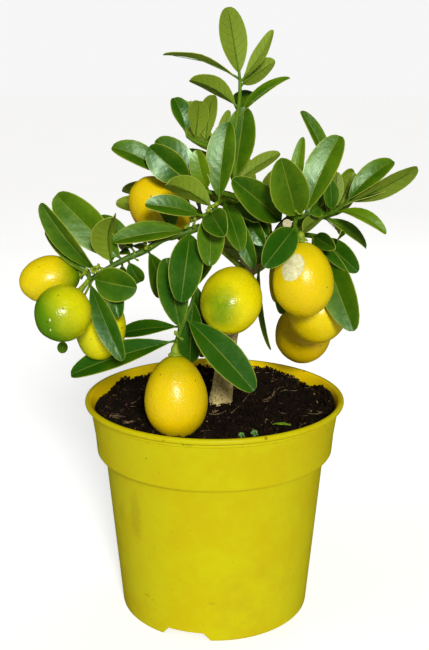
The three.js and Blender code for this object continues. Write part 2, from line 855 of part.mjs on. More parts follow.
const COLOURS = {
  pot: [0xd8c800, 0.42],
  soil: [0x1c130c, 0.98],
  wood: [0x8f7d55, 0.9],
  leaf: [0x2f7010, 0.4],
  fruit: [0xe8cf12, 0.38],
  green_fruit: [0x9fb80a, 0.38],
  weed: [0x4d8a2a, 0.6],
};

function materialFor(kind) {
  const [color, roughness] = COLOURS[kind];
  return new THREE.MeshStandardMaterial({ color, roughness, metalness: 0 });
}

function meshOf(name, solid, kind) {
  const { vertProperties, triVerts, numProp } = solid.getMesh();
  const points = new Float32Array((vertProperties.length / numProp) * 3);
  for (let i = 0; i < points.length / 3; i++) {
    points.set(vertProperties.subarray(i * numProp, i * numProp + 3), i * 3);
  }
  const geometry = new THREE.BufferGeometry();
  geometry.setAttribute("position", new THREE.BufferAttribute(points, 3));
  geometry.setIndex(new THREE.BufferAttribute(new Uint32Array(triVerts), 1));
  geometry.computeVertexNormals();
  const mesh = new THREE.Mesh(geometry, materialFor(kind));
  mesh.name = name;
  return mesh;
}

// The whole tree

const SEEDLINGS = {
  seedling_left: [16.5, -65, 2.6],
  seedling_right: [24.5, -64, 3],
};

const fruits = Object.entries(FRUIT);
const woodWithGap = makeWood(CLEARANCE);
const fruitsWithGap = fused(fruits.map(([, fruit]) => makeFruit(fruit, CLEARANCE)));

const seedlingHoles = Object.values(SEEDLINGS).map(([x, y]) => {
  const hole = new THREE.CylinderGeometry(0.95, 0.95, 12, 6).rotateX(Math.PI / 2);
  return solidOf(hole.translate(x, y, soilHeight(x, y)));
});
const holesInSoil = [woodWithGap, makeFruit(FRUIT.fruit_front, CLEARANCE), ...seedlingHoles];
const soil = holesInSoil.reduce((left, cut) => left.subtract(cut), makeSoil());

const tree = new THREE.Group();
tree.add(meshOf("pot", makePot(), "pot"));
tree.add(meshOf("soil", largestBody(soil), "soil"));
tree.add(meshOf("trunk", makeWood(), "wood"));
for (const [name, place] of Object.entries(SEEDLINGS)) {
  tree.add(meshOf(name, makeSeedling(...place), "weed"));
}
tree.add(meshOf("grass_blade", makeGrassBlade(), "weed"));
for (const [name, fruit] of fruits) {
  const green = ["fruit_left_green", "fruit_young"].includes(name);
  tree.add(meshOf(name, makeFruit(fruit), green ? "green_fruit" : "fruit"));
}
const backShoots = Object.entries(BACK_SHOOTS).map(([name, twig]) => [name, [twig]]);
for (const [name, twigs] of [...Object.entries(SHOOTS), ...backShoots]) {
  const clear = makeShoot(name, twigs).subtract(woodWithGap).subtract(fruitsWithGap);
  tree.add(meshOf(name, largestBody(clear), "leaf"));
}

export default tree;
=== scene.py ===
"""A small lemon tree, trained as a bonsai, with ripening fruit in a yellow plastic pot.

Lengths in the tables are in millimetres, and everything that is built is in metres. The front of the
tree looks along -Y, +Z is up, and the middle of the pot's foot is the origin.
"""

import math
from collections import namedtuple
from contextlib import contextmanager

import bpy
import numpy as np
from bpy.props import FloatProperty, FloatVectorProperty, IntProperty, PointerProperty
from mathutils import Matrix, Quaternion, Vector


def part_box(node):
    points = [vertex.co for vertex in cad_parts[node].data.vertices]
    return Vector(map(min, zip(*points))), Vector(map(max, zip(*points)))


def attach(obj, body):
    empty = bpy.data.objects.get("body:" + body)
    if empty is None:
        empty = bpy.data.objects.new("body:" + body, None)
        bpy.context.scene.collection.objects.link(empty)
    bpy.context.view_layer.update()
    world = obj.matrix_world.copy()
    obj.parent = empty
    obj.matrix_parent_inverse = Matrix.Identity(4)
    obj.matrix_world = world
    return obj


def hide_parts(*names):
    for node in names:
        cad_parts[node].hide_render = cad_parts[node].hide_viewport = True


bl_info = {
    "name": "Lemon Bonsai",
    "version": (1, 0, 0),
    "blender": (4, 5, 0),
    "location": "3D View > Sidebar > Lemon Bonsai",
    "description": "Small lemon tree with glossy leaves and ripening fruit in a yellow plastic pot",
    "category": "Add Mesh",
}

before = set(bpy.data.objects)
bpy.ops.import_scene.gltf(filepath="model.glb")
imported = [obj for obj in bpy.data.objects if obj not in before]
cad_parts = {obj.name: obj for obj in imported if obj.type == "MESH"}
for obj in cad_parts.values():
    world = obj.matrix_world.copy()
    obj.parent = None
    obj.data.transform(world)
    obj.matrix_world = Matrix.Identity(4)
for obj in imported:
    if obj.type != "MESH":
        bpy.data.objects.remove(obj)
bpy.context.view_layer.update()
pot_low, pot_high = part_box("pot")

MM = 0.001
UP = Vector((0, 0, 1))

# The place that the tree is laid out from: points are given as they are seen from it, in a picture frame
# of 429 by 650, with their depth behind the pot's middle in millimetres.
EYE = Vector((0.0, -645.0, 363.0))
EYE_PITCH = math.radians(14.5)
PICTURE_MIDDLE = (214.5, 325.0)
PICTURE_HEIGHT = 650.0
PICTURE_FOCUS = 1002.0


def seen(across, down, depth):
    """The point of the tree that shows at a place of the picture, in millimetres."""
    right = across - PICTURE_MIDDLE[0]
    up = PICTURE_MIDDLE[1] - down
    ahead = PICTURE_FOCUS * math.cos(EYE_PITCH) + up * math.sin(EYE_PITCH)
    ray = Vector((right, ahead, up * math.cos(EYE_PITCH) - PICTURE_FOCUS * math.sin(EYE_PITCH)))
    return EYE + ray * ((depth - EYE.y) / ray.y)


# Wood: rows of across, down, depth and radius
WOOD = {
    "trunk": [
        (220, 452, 0, 6.4), (220, 408, 0, 8.3), (223, 385, 0, 7.3), (227, 350, 0, 6.2),
        (233, 318, 2, 5.8), (241, 288, 4, 5.4), (247, 262, 4, 5.0), (247, 238, 2, 4.2),
        (243, 216, 0, 3.2),
    ],
    "cut_limb": [(250, 268, 4, 3.8), (266, 247, -4, 3.5), (279, 233, -18, 3.2), (287, 224, -37, 3.0)],
    "left_limb": [(249, 250, 3, 3.4), (234, 236, -8, 3.1), (215, 228, -20, 2.7), (201, 227, -29, 2.5)],
    "right_limb": [(250, 258, 4, 3.4), (268, 241, 14, 3.0), (284, 230, 14, 2.6), (297, 224, 7, 2.3)],
    "back_left_limb": [(248, 244, 3, 3.4), (233, 229, 14, 2.9), (216, 219, 27, 2.4)],
    "back_limb": [(250, 252, 4, 3.6), (254, 238, 20, 3.0), (258, 228, 36, 2.4)],
    "back_low_limb": [(247, 284, 4, 3.6), (252, 270, 18, 2.8), (258, 262, 32, 2.3)],
}

# Fruit: where its middle is seen with its depth, its length and width, the way from its stalk to its
# blossom end, and how much wider it is towards the blossom end
Fruit = namedtuple("Fruit", "middle length width way pear")
FRUIT = {
    "fruit_front": Fruit((176, 396.4, -52), 53, 40.5, (0.02, -0.1, -1), 0.13),
    "fruit_centre": Fruit((231.5, 300, -37), 46, 39.8, (-0.25, -0.75, -0.6), 0.04),
    "fruit_scarred": Fruit((303, 279, -48), 46.5, 38.6, (0.06, -0.14, -1), 0.1),
    "fruit_right_behind": Fruit((317, 312.5, -15), 40, 40, (0.1, -0.3, -1), 0.03),
    "fruit_right_low": Fruit((303, 333, 28), 43, 40, (-0.1, 0.1, -1), 0.05),
    "fruit_far_left": Fruit((50, 279, -40), 38, 29.5, (-1, -0.05, -0.2), 0.06),
    "fruit_left_green": Fruit((63, 313, -66), 36, 35, (-0.3, -0.8, -0.35), 0.02),
    "fruit_left_low": Fruit((101, 327, -38), 42, 32.5, (-0.12, -0.1, -1), 0.06),
    "fruit_upper_left": Fruit((160, 209, -6), 46, 36.5, (-0.62, -0.1, 0.75), 0.04),
    "fruit_young": Fruit((62.5, 347.5, -30), 7.5, 6.8, (-0.1, -0.1, -1), 0.0),
}

# Ripeness of each fruit: the way that its green side faces, how far the green reaches (-1 hardly, 1 all
# over), how softly it ends, and how orange the rest is
RIPENESS = {
    "fruit_front": ((0, 0, 1), -1.3, 0.8, 0.5),
    "fruit_centre": ((-0.5, -0.85, 0.12), -0.92, 0.36, 0.15),
    "fruit_scarred": ((0, 0, 1), -1.5, 0.8, 0.45),
    "fruit_right_behind": ((0, 0, 1), -2, 0.8, 0.4),
    "fruit_right_low": ((0, 0, 1), -2, 0.8, 0.55),
    "fruit_far_left": ((1, 0, 0), -0.75, 0.5, 0.35),
    "fruit_left_green": ((-0.9, 0, -0.5), 0.25, 0.8, 0),
    "fruit_left_low": ((-1, 0, -0.3), -0.85, 0.7, 0.05),
    "fruit_upper_left": ((0, 0, -1), -2, 0.8, 0.55),
    "fruit_young": ((0, 0, 1), 3, 0.8, 0),
}
SMALL_FRUIT = 15

# One twig of a shoot. A stem's rows are across, down, depth and radius. A leaf's row is its place along
# the stem, counted in stem rows from 0, where its tip is seen, the tip's depth, its width, its turn, its
# arch and its tone: 0 for an old dark leaf, 1 for a young light one and 2 for one that has turned yellow.
# The turn is 0 where the upper face looks at the viewer and 180 where the underside does. A stalk's row
# is a place along the stem and the fruit it carries. Far leaves follow a rule on the stem's far side, and
# spiral leaves go all round it.
Twig = namedtuple("Twig", "stem leaves stalks far spiral", defaults=[(), (), 0, 0])
SHOOTS = {
    "crown": [
        Twig(
            stem=[
                (245, 223, 0, 2.7), (237, 193, -2, 2.1), (234, 160, -4, 1.8), (235, 130, -5, 1.5),
                (239, 105, -6, 1.35), (240, 86, -6, 1.2), (239, 70, -7, 0.9),
            ],
            leaves=[
                (5.5, 228, 7, -14, 18.5, 175, 2, 0.7), (5.2, 273, 30, -4, 10.5, -150, -3, 0.8),
                (5, 275, 61, 14, 14.5, -158, 1, 0.75), (4.9, 254, 77, 26, 9, -100, 1, 0.7),
                (3.4, 290, 78, 2, 14, -62, 3, 0.45), (5.4, 163, 55, -2, 13, 98, 4, 0.7),
                (3.85, 190, 80, -16, 15.5, 138, 5, 0.75), (1.4, 245, 107, -4, 22, -8, 2, 0.35),
                (1.3, 280, 153, 2, 12, -150, 3, 0.8),
            ],
            far=2,
        ),
        Twig(
            stem=[
                (233, 168, -5, 1.7), (222, 158, -10, 1.6), (210, 148, -16, 1.5), (196, 142, -20, 1.4),
                (187, 136, -22, 1.1),
            ],
            leaves=[
                (4, 174, 98, -16, 14, 24, 3, 0.2), (3.1, 199, 101, -34, 14, 172, 2, 0.85),
                (2.3, 213, 95, -30, 13, -160, 3, 0.9), (1.4, 229, 110, -8, 8, 190, 2, 0.6),
                (3.2, 190, 101, -8, 12, 160, 2, 0.7),
            ],
        ),
        Twig(
            stem=[
                (239, 199, -2, 1.7), (224, 194, -14, 1.6), (209, 192, -20, 1.5), (190, 183, -21, 1.3),
                (166, 176, -14, 1.0),
            ],
            leaves=[
                (3.9, 112, 147, -14, 19, 36, 4, 0.35), (2.9, 149, 147, -24, 22.5, -10, 4, 0.25),
                (2.4, 157, 139, -14, 20, 24, 3, 0.3), (2, 197, 150, -22, 14.5, -20, 3, 0.7),
            ],
            far=2,
        ),
        Twig(
            stem=[
                (245, 209, -2, 1.7), (232, 203, -14, 1.6), (219, 202, -27, 1.6), (213, 211, -33, 1.5),
                (202, 216, -37, 1.2),
            ],
            leaves=[
                (2, 228, 122, -18, 21, -20, 3, 0.38), (2.8, 167, 184, -48, 18, 148, 5, 0.65),
                (4, 145, 205, -48, 16, 34, 3, 0.3), (3.2, 225, 236, -66, 18, 4, 3, 0.2),
                (1.6, 241, 251, -50, 15.5, -12, 3, 0.3), (1.4, 254, 268, -34, 13, 0, 3, 0.2),
                (3.3, 210, 266, -56, 18.5, -4, 4, 0.4), (0.6, 264, 245, -26, 14, 10, 3, 0.15),
                (0.9, 258, 222, -34, 12, -20, 3, 0.15), (0.3, 268, 236, -18, 15, 12, 3, 0.1),
                (0.2, 259, 264, -10, 15, -8, 3, 0.05),
            ],
        ),
        Twig(
            stem=[(236, 180, -3, 2.1), (228, 168, 12, 1.8), (219, 158, 24, 1.5), (211, 149, 32, 1.1)],
            spiral=5,
        ),
    ],
    "left_branch": [
        Twig(
            stem=[
                (200, 227, -30, 2.4), (181, 234, -34, 2.3), (163, 239, -37, 2.2), (146, 250, -39, 2.1),
                (130, 257, -41, 2.0), (116, 264, -43, 1.8), (102, 272, -46, 1.6), (89, 280, -47, 1.2),
            ],
            leaves=[
                (0.5, 181, 302, -56, 23, 0, 5, 0.15), (0.6, 113, 242, -46, 18, 40, 3, 0.4),
                (2.9, 162, 295, -12, 17.5, -20, 3, 0.2), (6.2, 41, 203, -56, 17.5, -42, 3, 0.3),
                (4.5, 56, 195, -30, 26, -6, 3, 0.5), (5.2, 113, 217, -62, 23, 224, 5, 0.75),
                (6.8, 46, 230, -36, 12, 8, 2, 0.4), (6.8, 137, 288, -60, 23, 10, 2, 0.28),
                (7, 123, 361, -71, 15, 10, 5, 0.15), (5.5, 119, 318, -58, 12, 0, 2, 0.15),
                (3.6, 100, 216, -28, 12, 30, 3, 0.3), (3.8, 117, 256, -22, 9, 60, 2, 0.4),
                (4.2, 140, 282, -36, 12, 10, 2, 0.2), (4.6, 129, 281, -31, 10, 30, 2, 0.15),
            ],
            stalks=[
                (0.9, "fruit_upper_left"), (6.9, "fruit_far_left"), (7, "fruit_left_green"),
                (6.3, "fruit_left_low"), (6.6, "fruit_young"),
            ],
            far=3,
        ),
    ],
    "low_front_shoot": [
        Twig(
            stem=[
                (212, 231, -20, 1.6), (203, 247, -19, 1.4), (196, 275, -22, 1.3), (193, 300, -32, 1.3),
                (181, 329, -44, 1.4), (176, 343, -50, 1.5),
            ],
            leaves=[
                (4.1, 166, 258, -36, 21, 3, 3, 0.2), (3.9, 120, 334, -14, 13, 28, 3, 0.05),
                (4.8, 71, 375, -34, 20, 28, 4, 0.05), (3.6, 254, 391, -66, 23, -14, 4, 0.05),
                (2.9, 190, 362, -30, 19, 10, 2, 0.1), (2.2, 203, 357, -20, 17, -20, 2, 0.1),
            ],
            stalks=[(0.5, "fruit_centre"), (5, "fruit_front")],
            far=1,
        ),
    ],
    "right_front_shoot": [
        Twig(
            stem=[
                (273, 239, -10, 2.0), (280, 226, -15, 1.9), (288, 219, -24, 1.9), (297, 218, -34, 1.8),
                (305, 215, -36, 1.4),
            ],
            leaves=[
                (1.4, 232, 179, -54, 22, 10, 3, 0.3), (3, 281, 158, -62, 25.5, 0, 3, 0.5),
                (4, 340, 136, -24, 23, -22, 4, 0.45), (1.2, 282, 314, -8, 15, -10, 3, 0.3),
                (4, 318, 206, -26, 12, 20, 2, 0.3), (2.3, 303, 137, -12, 10, -20, 2, 0.65),
            ],
            far=1,
        ),
        Twig(
            stem=[(296, 218, -33, 1.5), (295, 226, -37, 1.4), (299, 235, -42, 1.3)],
            leaves=[(1.1, 264, 267, -64, 20, 0, 3, 0.05)],
            stalks=[(2, "fruit_scarred")],
        ),
    ],
    "right_shoot": [
        Twig(
            stem=[
                (296, 224, 6, 2.0), (310, 221, -6, 1.8), (325, 216, -17, 1.7), (335, 211, -21, 1.5),
                (345, 204, -23, 1.1),
            ],
            leaves=[
                (4, 393, 161, -12, 16, -26, 5, 0.4), (4, 417.8, 168, -42, 14, 158, 4, 0.45),
                (3.2, 399, 189, -24, 15, -62, 3, 0.1), (3.2, 353, 172, -4, 16, 165, 2, 0.5),
                (2.8, 386, 234, -36, 12, -48, 6, 0.65), (1.8, 366, 248, -8, 13, -50, 3, 0.4),
                (2.6, 330, 180, -24, 11, 10, 2, 0.3), (2.9, 337, 172, -12, 10, 170, 2, 0.5),
                (2.3, 303, 230, -42, 11, 150, 2, 0.4),
            ],
            far=2,
        ),
        Twig(
            stem=[(322, 217, -15, 1.5), (328, 198, -4, 1.4), (331, 178, 4, 1.2)],
            leaves=[(2, 301, 111, 8, 14, 48, 3, 0.4)],
        ),
    ],
    "right_low_shoot": [
        Twig(
            stem=[
                (283, 232, 14, 1.9), (298, 234, 7, 1.8), (314, 236, -3, 1.7), (328, 239, -11, 1.5),
                (335, 243, -14, 1.0),
            ],
            leaves=[
                (2.3, 354, 331, -44, 24.5, 8, 3, 0.3), (0.6, 264, 247, 14, 14, 10, 3, 0.2),
                (2.2, 358, 272, -30, 16.5, -10, 3, 0.15), (2, 335, 249, -34, 12, 0, 2, 0.2),
                (3.9, 341, 231, -26, 8, 80, 1, 0.3), (0.1, 277, 303, 0, 18, -10, 3, 2),
            ],
            stalks=[(2, "fruit_right_behind"), (1, "fruit_right_low")],
        ),
    ],
    "back_left_shoot": [
        Twig(
            stem=[(217, 219, 26, 2.2), (205, 217, 34, 1.9), (194, 212, 40, 1.6), (185, 205, 43, 1.1)],
            leaves=[(2.4, 116, 203, 22, 15, 165, 2, 0.8)],
            spiral=6,
        ),
    ],
    "back_shoot": [
        Twig(
            stem=[(258, 229, 35, 2.2), (257, 217, 44, 1.9), (253, 206, 50, 1.6), (249, 196, 53, 1.1)],
            spiral=6,
        ),
    ],
    "back_right_shoot": [
        Twig(
            stem=[(285, 230, 14, 2.2), (301, 220, 24, 1.9), (315, 211, 31, 1.6), (327, 202, 35, 1.1)],
            spiral=6,
        ),
    ],
    "back_low_shoot": [
        Twig(
            stem=[(258, 262, 31, 2.1), (260, 258, 40, 1.8), (261, 255, 46, 1.5), (262, 251, 51, 1.1)],
            leaves=[(0.5, 271, 350, 18, 10, 62, 3, 0.5)],
            spiral=5,
        ),
    ],
}

# Clusters of small flower buds: where they are seen, their depth and how many
BUDS = {
    "crown": [(207, 213, -38, 5), (195, 222, -36, 5), (213, 205, -34, 3)],
    "left_branch": [
        (147, 247, -42, 4), (101, 268, -50, 5), (186, 226, -37, 4), (86, 274, -50, 5), (94, 270, -50, 4),
        (134, 258, -42, 3),
    ],
    "low_front_shoot": [(178, 337, -52, 3)],
    "right_front_shoot": [(299, 214, -40, 3)],
}

GOLDEN_ANGLE = math.radians(137.5)


# Sizes and colours


def colour_setting(name, description, default):
    return FloatVectorProperty(
        name=name, description=description, default=default, size=3, subtype="COLOR", min=0, max=1
    )


def length_setting(name, description, default, least=0.0):
    return FloatProperty(name=name, description=description, default=default, unit="LENGTH", min=least)


def count_setting(name, description, default, least=0):
    return IntProperty(name=name, description=description, default=default, min=least)


def strength_setting(name, description, default):
    return FloatProperty(name=name, description=description, default=default, min=0)


class PotSettings(bpy.types.PropertyGroup):
    """Size and plastic of the pot"""

    lip_radius: length_setting("Lip radius", "Radius of the pot over its rolled lip", pot_high.x)
    height: length_setting("Height", "Height of the pot from its foot to its lip", pot_high.z - pot_low.z)
    segments: count_setting("Segments", "Number of sides round the pot", 128, 32)
    plastic: colour_setting("Plastic", "Colour of the clean plastic", (0.575, 0.53, 0.0008))
    # Painted light: the inside is a brighter, warmer copy of the plastic, so the shaded inner wall looks
    # lit through the wall
    inside: colour_setting("Inside", "Colour of the pot's shaded, stained inside", (0.98, 0.73, 0.001))
    scuff: colour_setting("Scuffs", "Colour of the worn and dusty places", (0.36, 0.25, 0.006))


class SoilSettings(bpy.types.PropertyGroup):
    """Peat in the pot"""

    peat: colour_setting("Peat", "Colour of the moist peat", (0.012, 0.0065, 0.003))
    fibre: colour_setting("Fibre", "Colour of the dry root fibres", (0.40, 0.27, 0.12))
    crumbs: count_setting("Crumbs", "Number of loose crumbs on the surface", 4800)
    fibres: count_setting("Fibres", "Number of loose fibres on the surface", 70)


class WoodSettings(bpy.types.PropertyGroup):
    """Bark and sawn wood"""

    bark: colour_setting("Bark", "Colour of the old bark", (0.86, 0.70, 0.28))
    bark_depth: length_setting("Bark depth", "Depth of the furrows in the bark", 0.0011)
    sawn: colour_setting("Sawn wood", "Colour of the sawn end of the limb", (0.66, 0.59, 0.34))


class LeafSettings(bpy.types.PropertyGroup):
    """Leaves and green twigs"""

    old_leaf: colour_setting("Old leaf", "Upper face of an old leaf", (0.016, 0.086, 0.0006))
    young_leaf: colour_setting("Young leaf", "Upper face of a young leaf", (0.15, 0.27, 0.002))
    underside: colour_setting("Underside", "Underside of a leaf", (0.21, 0.31, 0.014))
    margin: colour_setting("Margin", "Thin pale margin and midrib of a leaf", (0.46, 0.52, 0.07))
    blade_thickness: length_setting("Blade thickness", "Thickness of a leaf's blade", 0.0004, 0.0001)


class FruitSettings(bpy.types.PropertyGroup):
    """Peel of the fruit"""

    ripe: colour_setting("Ripe peel", "Colour of the ripe peel", (0.78, 0.74, 0.002))
    overripe: colour_setting("Orange peel", "Colour of the warmest, ripest peel", (0.84, 0.43, 0.001))
    unripe: colour_setting("Unripe peel", "Colour of the green peel", (0.10, 0.25, 0.001))
    pore_size: length_setting("Pore spacing", "Distance between the pores of the peel", 0.0015, 0.0005)


class StageSettings(bpy.types.PropertyGroup):
    """Floor and light"""

    floor: colour_setting("Floor", "Colour of the floor", (0.86, 0.86, 0.85))
    glow: strength_setting("Floor glow", "How much lighter the floor looks than its light makes it", 0.5)
    key_strength: strength_setting("Key light", "Strength of the light above the camera", 3.0)
    key_spread: FloatProperty(
        name="Key light spread",
        description="How wide the key light looks from the tree",
        default=math.radians(13),
        subtype="ANGLE",
    )
    fill_power: strength_setting("Fill light", "Power of the wide lights at the left and behind", 2.5)
    sky: strength_setting("Surrounding light", "Strength of the light from the surroundings", 0.13)


# Lines and small sums


class Line:
    """A smooth line through points, with places given by point number or by share of its length."""

    DIVISIONS = 200

    def __init__(self, points):
        self.points = [Vector(p) for p in points]
        run = [self.at(i / self.DIVISIONS) for i in range(self.DIVISIONS + 1)]
        steps = [(b - a).length for a, b in zip(run, run[1:])]
        self.lengths = np.concatenate([[0.0], np.cumsum(steps)])

    def at(self, t):
        points = self.points
        place = (len(points) - 1) * t
        i = min(int(math.floor(place)), len(points) - 2)
        w = place - i
        p1, p2 = points[i], points[i + 1]
        p0 = points[i - 1] if i > 0 else p1 * 2 - p2
        p3 = points[i + 2] if i + 2 < len(points) else p2 * 2 - p1
        t1, t2 = (p2 - p0) * 0.5, (p3 - p1) * 0.5
        c2 = -3 * p1 + 3 * p2 - 2 * t1 - t2
        c3 = 2 * p1 - 2 * p2 + t1 + t2
        return p1 + t1 * w + c2 * w**2 + c3 * w**3

    def at_row(self, row):
        return self.at(row / (len(self.points) - 1))

    def time_of(self, share):
        target = share * self.lengths[-1]
        return float(np.interp(target, self.lengths, np.linspace(0, 1, self.DIVISIONS + 1)))

    def at_share(self, share):
        return self.at(self.time_of(share))

    def way_at_share(self, share):
        t = self.time_of(share)
        return (self.at(min(1, t + 1e-4)) - self.at(max(0, t - 1e-4))).normalized()


def run_along(line, radii, steps):
    """Points and radii along a line whose radii are given at its rows."""
    run = []
    for i in range(steps + 1):
        share = i / steps
        place = share * (len(radii) - 1)
        low = min(int(place), len(radii) - 2)
        radius = radii[low] + (radii[low + 1] - radii[low]) * (place - low)
        run.append((line.at(share), radius))
    return run


def stem_run(rows, steps):
    """A stem's line, and its points and radii with so many steps from row to row."""
    line = Line([seen(*row[:3]) for row in rows])
    return line, run_along(line, [row[3] for row in rows], steps * (len(rows) - 1))


def seeded(name):
    """A draw of numbers from 0 to 1: the same ones for the same name each time."""
    state = 7
    for letter in name:
        state = (state * 31 + ord(letter)) % 99991

    def draw():
        nonlocal state
        state = (state * 16807) % 2147483647
        return state / 2147483647

    return draw


def shaded(colour, share):
    return [c * share for c in colour]


def on_circle(angle, radius):
    return radius * math.cos(angle), radius * math.sin(angle)


# Heaps and dips of the soil along the pot's wall: the angle from +X, the width in degrees and the height
SOIL_HEAPS = (
    (6, 17, 5.5), (28, 6, -3.2), (60, 11, 4.6), (100, 14, 2.0), (146, 6, 3.6), (163, 9, -1.4),
    (186, 12, 1.2),
)
SOIL_LEVEL = 141.5


def soil_height(x, y):
    """Height of the soil at a place, in millimetres."""
    waves = 1.3 * np.sin(x / 8 + 1) * np.cos(y / 9 - 0.6) + 0.8 * np.sin((x + y) / 5.2 + 2)
    mound = 2.2 * np.exp(-(((x - 38) / 22) ** 2 + ((y - 30) / 20) ** 2))
    angle = np.degrees(np.arctan2(y, x)) % 360
    heaps = 0
    for middle, wide, high in SOIL_HEAPS:
        off = (angle - middle + 180) % 360 - 180
        heaps = heaps + high * np.exp(-((off / wide) ** 2))
    edge = np.clip((np.hypot(x, y) - 62) / 17, 0, 1) ** 1.5
    return SOIL_LEVEL + waves * (1 - 0.6 * edge) + mound * (1 - edge) + edge * (heaps - 1.0)


def on_soil(x, y, lift=0.0):
    """The point that is lift above the soil at a place."""
    return Vector((x, y, float(soil_height(x, y)) + lift))


# Modelling helpers


def deselect():
    if bpy.context.object and bpy.context.object.mode != "OBJECT":
        bpy.ops.object.mode_set(mode="OBJECT")
    bpy.ops.object.select_all(action="DESELECT")


def pick(*pieces):
    """Selects these pieces and makes the first the active one."""
    deselect()
    for piece in pieces:
        piece.select_set(True)
    bpy.context.view_layer.objects.active = pieces[0]


def named(name):
    """Names the active piece, such as a primitive that was just added."""
    piece = bpy.context.object
    piece.name = name
    piece.data.name = name
    return piece


def joined(pieces, name):
    pick(*pieces)
    if len(pieces) > 1:
        bpy.ops.object.join()
    return named(name)


def own_copy(source):
    """A copy with a mesh of its own."""
    copy = source.copy()
    copy.data = source.data.copy()
    bpy.context.collection.objects.link(copy)
    return copy


@contextmanager
def edit_mode():
    bpy.ops.object.mode_set(mode="EDIT")
    yield
    bpy.ops.object.mode_set(mode="OBJECT")


def choose(piece, test):
    """Selects in the mesh just the points that pass the test."""
    for part in (*piece.data.edges, *piece.data.polygons):
        part.select = False
    for vertex in piece.data.vertices:
        vertex.select = test(vertex.co)


def settle(piece):
    """Puts the piece's place, turn and size into its mesh."""
    pick(piece)
    bpy.ops.object.transform_apply(location=True, rotation=True, scale=True)


def standing(place, way):
    """The matrix that sets a piece on a place in millimetres with its +Z along a way."""
    return Matrix.Translation(place * MM) @ way.to_track_quat("Z", "Y").to_matrix().to_4x4()


def add_modifier(piece, kind, **settings):
    modifier = piece.modifiers.new(kind.title(), kind)
    for name, value in settings.items():
        setattr(modifier, name, value)
    pick(piece)
    bpy.ops.object.modifier_apply(modifier=modifier.name)


def roughen(piece, name, size, strength, **settings):
    """Moves the surface in and out by a cloudy pattern."""
    texture = bpy.data.textures.new(name, "CLOUDS")
    texture.noise_scale = size
    add_modifier(piece, "DISPLACE", texture=texture, strength=strength, texture_coords="LOCAL", **settings)


def cleaned(piece):
    """Merges doubled points and turns all faces outwards."""
    pick(piece)
    with edit_mode():
        bpy.ops.mesh.select_all(action="SELECT")
        bpy.ops.mesh.remove_doubles(threshold=1e-6)
        bpy.ops.mesh.normals_make_consistent(inside=False)


def smooth(piece, degrees):
    """Smooths all edges where the surface turns by less than so many degrees."""
    pick(piece)
    bpy.ops.object.shade_smooth_by_angle(angle=math.radians(degrees))


def dress(piece, *materials):
    piece.data.materials.clear()
    for material in materials:
        piece.data.materials.append(material)


def points_of(mesh):
    """The points of a mesh as rows of numbers."""
    flat = np.empty(len(mesh.vertices) * 3)
    mesh.vertices.foreach_get("co", flat)
    return flat.reshape(-1, 3)


def set_tone(piece, value):
    """Gives all points of a piece one tone for its material to read."""
    tone = piece.data.attributes.new("tone", "FLOAT", "POINT")
    tone.data.foreach_set("value", np.full(len(piece.data.vertices), value, np.float32))


def part_of_tree(piece, node):
    """The piece stands in for this node, whose part is hidden, and moves with the tree."""
    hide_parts(node)
    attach(piece, "root")


def raise_ring(rise, share, height):
    """Extrudes what is selected upwards and then scales it round the Z axis."""
    bpy.ops.mesh.extrude_region_move(TRANSFORM_OT_translate={"value": (0, 0, rise)})
    bpy.ops.transform.resize(value=(share, share, 1), center_override=(0, 0, height))


def raised(name, rings, segments):
    """A round closed form raised ring by ring about +Z, from rows of radius and height in millimetres."""
    deselect()
    radius, height = rings[0]
    bpy.ops.mesh.primitive_circle_add(
        vertices=segments, radius=radius * MM, fill_type="NGON", location=(0, 0, height * MM)
    )
    piece = named(name)
    settle(piece)
    with edit_mode():
        bpy.ops.mesh.select_all(action="SELECT")
        for next_radius, next_height in rings[1:]:
            raise_ring((next_height - height) * MM, next_radius / radius, next_height * MM)
            radius, height = next_radius, next_height
    cleaned(piece)
    return piece


def tubes(name, runs, resolution=2):
    """Round rods along runs of points, each run a list of (point, radius) in millimetres."""
    deselect()
    bpy.ops.curve.primitive_bezier_curve_add()
    piece = named(name)
    curve = piece.data
    curve.dimensions = "3D"
    curve.splines.clear()
    for run in runs:
        spline = curve.splines.new("POLY")
        spline.points.add(len(run) - 1)
        for point, (place, radius) in zip(spline.points, run):
            point.co = (*(Vector(place) * MM), 1)
            point.radius = radius
    curve.bevel_depth = MM
    curve.bevel_resolution = resolution
    curve.use_fill_caps = True
    pick(piece)
    bpy.ops.object.convert(target="MESH")
    piece = bpy.context.object
    settle(piece)
    return piece


# Material helpers


